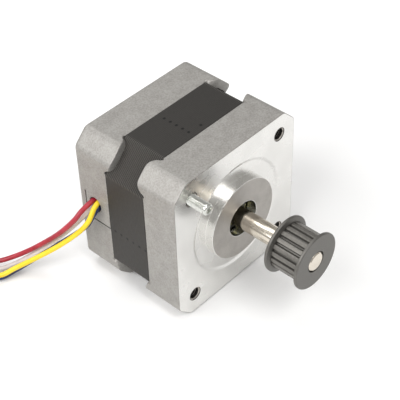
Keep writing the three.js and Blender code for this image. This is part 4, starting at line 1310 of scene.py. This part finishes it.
def makeFlange(name, node, outside, away):
    # A disc with rounded rim whose belt side slopes back, so that the belt is led in
    p = pulleyShape
    beltSide = outside - away * p["flangeThickness"]
    line = [(p["spigot"] + 0.02, outside, 0.08), (p["flange"], outside, 0.3),
            (p["flange"], beltSide + away * 0.34, 0.22), (p["tip"] + 0.3, beltSide + away * 0.02, 0.3),
            (p["spigot"] + 0.02, beltSide + away * 0.02, 0)]
    flange = turnedPiece(name, line, 128, closedLoop=True)
    finishPiece(flange, "rotor", "pulley_steel", [node], pulleyMaterial)


makeShaft()
makeToothedBody()
makeFlange("pulley_flange_front", "pulley_front_flange", pulleyFront, -1)
makeFlange("pulley_flange_rear", "pulley_rear_flange", pulleyRear, 1)
print("shaft and pulley made")


# ---------- CAD nodes that stay ----------

keptFinishes = {
    "front_insulator": nylonMaterial, "rear_insulator": nylonMaterial, "termination_board": boardMaterial,
    "rotor_magnet": magnetMaterial, "rotor_cup_front": rotorMaterial, "rotor_cup_rear": rotorMaterial,
    "rotor_spacer_front": shaftMaterial, "rotor_spacer_rear": shaftMaterial,
    "bearing_preload_washer": washerMaterial,
}
keptFinishes.update({f"stator_coil_{k}": copperMaterial for k in range(1, 9)})
for nodeName, material in keptFinishes.items():
    node = frame["nodes"][nodeName]
    node.data.materials.clear()
    node.data.materials.append(material)
print("inner nodes painted")


# ---------- floor and light ----------

def makeFloor():
    # A wide pale sheet, a hair under the part
    size = 3.0
    points = np.array([(x * size, y * size, -0.0002) for x, y in ((-1, -1), (1, -1), (1, 1), (-1, 1))])
    mesh = bpy.data.meshes.new("studioFloor")
    mesh.from_pydata(points.tolist(), [], [(0, 1, 2, 3)])
    floor = bpy.data.objects.new("studioFloor", mesh)
    bpy.context.scene.collection.objects.link(floor)
    material, tree, shader, place = newMaterial("whitePaper", 0.0, 0.8)
    soft = noiseAt(tree, place, 40.0, 2.0)
    tree.links.new(twoTone(tree, soft, 0.3, 0.7, "F6F6F6", "F8F8F8"), shader.inputs["Base Color"])
    mesh.materials.append(material)


lightSettings = [
    # name, place, size across and along, power in watts
    ("rearSoftbox", (0.09, 0.44, 0.74), (0.55, 0.6), 2.0),
    ("rearLeftPanel", (-0.56, 0.42, 0.46), (0.3, 0.4), 0.9),
    ("frontTopBox", (-0.10, -0.44, 0.74), (0.3, 0.3), 2.0),
    ("leftKey", (-0.74, 0.04, 0.64), (0.7, 0.7), 6.0),
]


def makeLights():
    aim = Vector((0, 0, 0.02))
    for name, spot, (across, along), power in lightSettings:
        data = bpy.data.lights.new(name, "AREA")
        data.shape = "RECTANGLE"
        data.size, data.size_y = across, along
        data.energy = power
        lamp = bpy.data.objects.new(name, data)
        lamp.location = spot
        lamp.rotation_euler = (aim - Vector(spot)).to_track_quat("-Z", "Y").to_euler()
        bpy.context.scene.collection.objects.link(lamp)
    world = bpy.data.worlds.new("studio")
    bpy.context.scene.world = world
    world.use_nodes = True
    background = world.node_tree.nodes["Background"]
    background.inputs["Color"].default_value = fromHex("DAD9D7")
    background.inputs["Strength"].default_value = 0.7


makeFloor()
makeLights()
bpy.context.scene.view_settings.view_transform = "Standard"

print("all made")
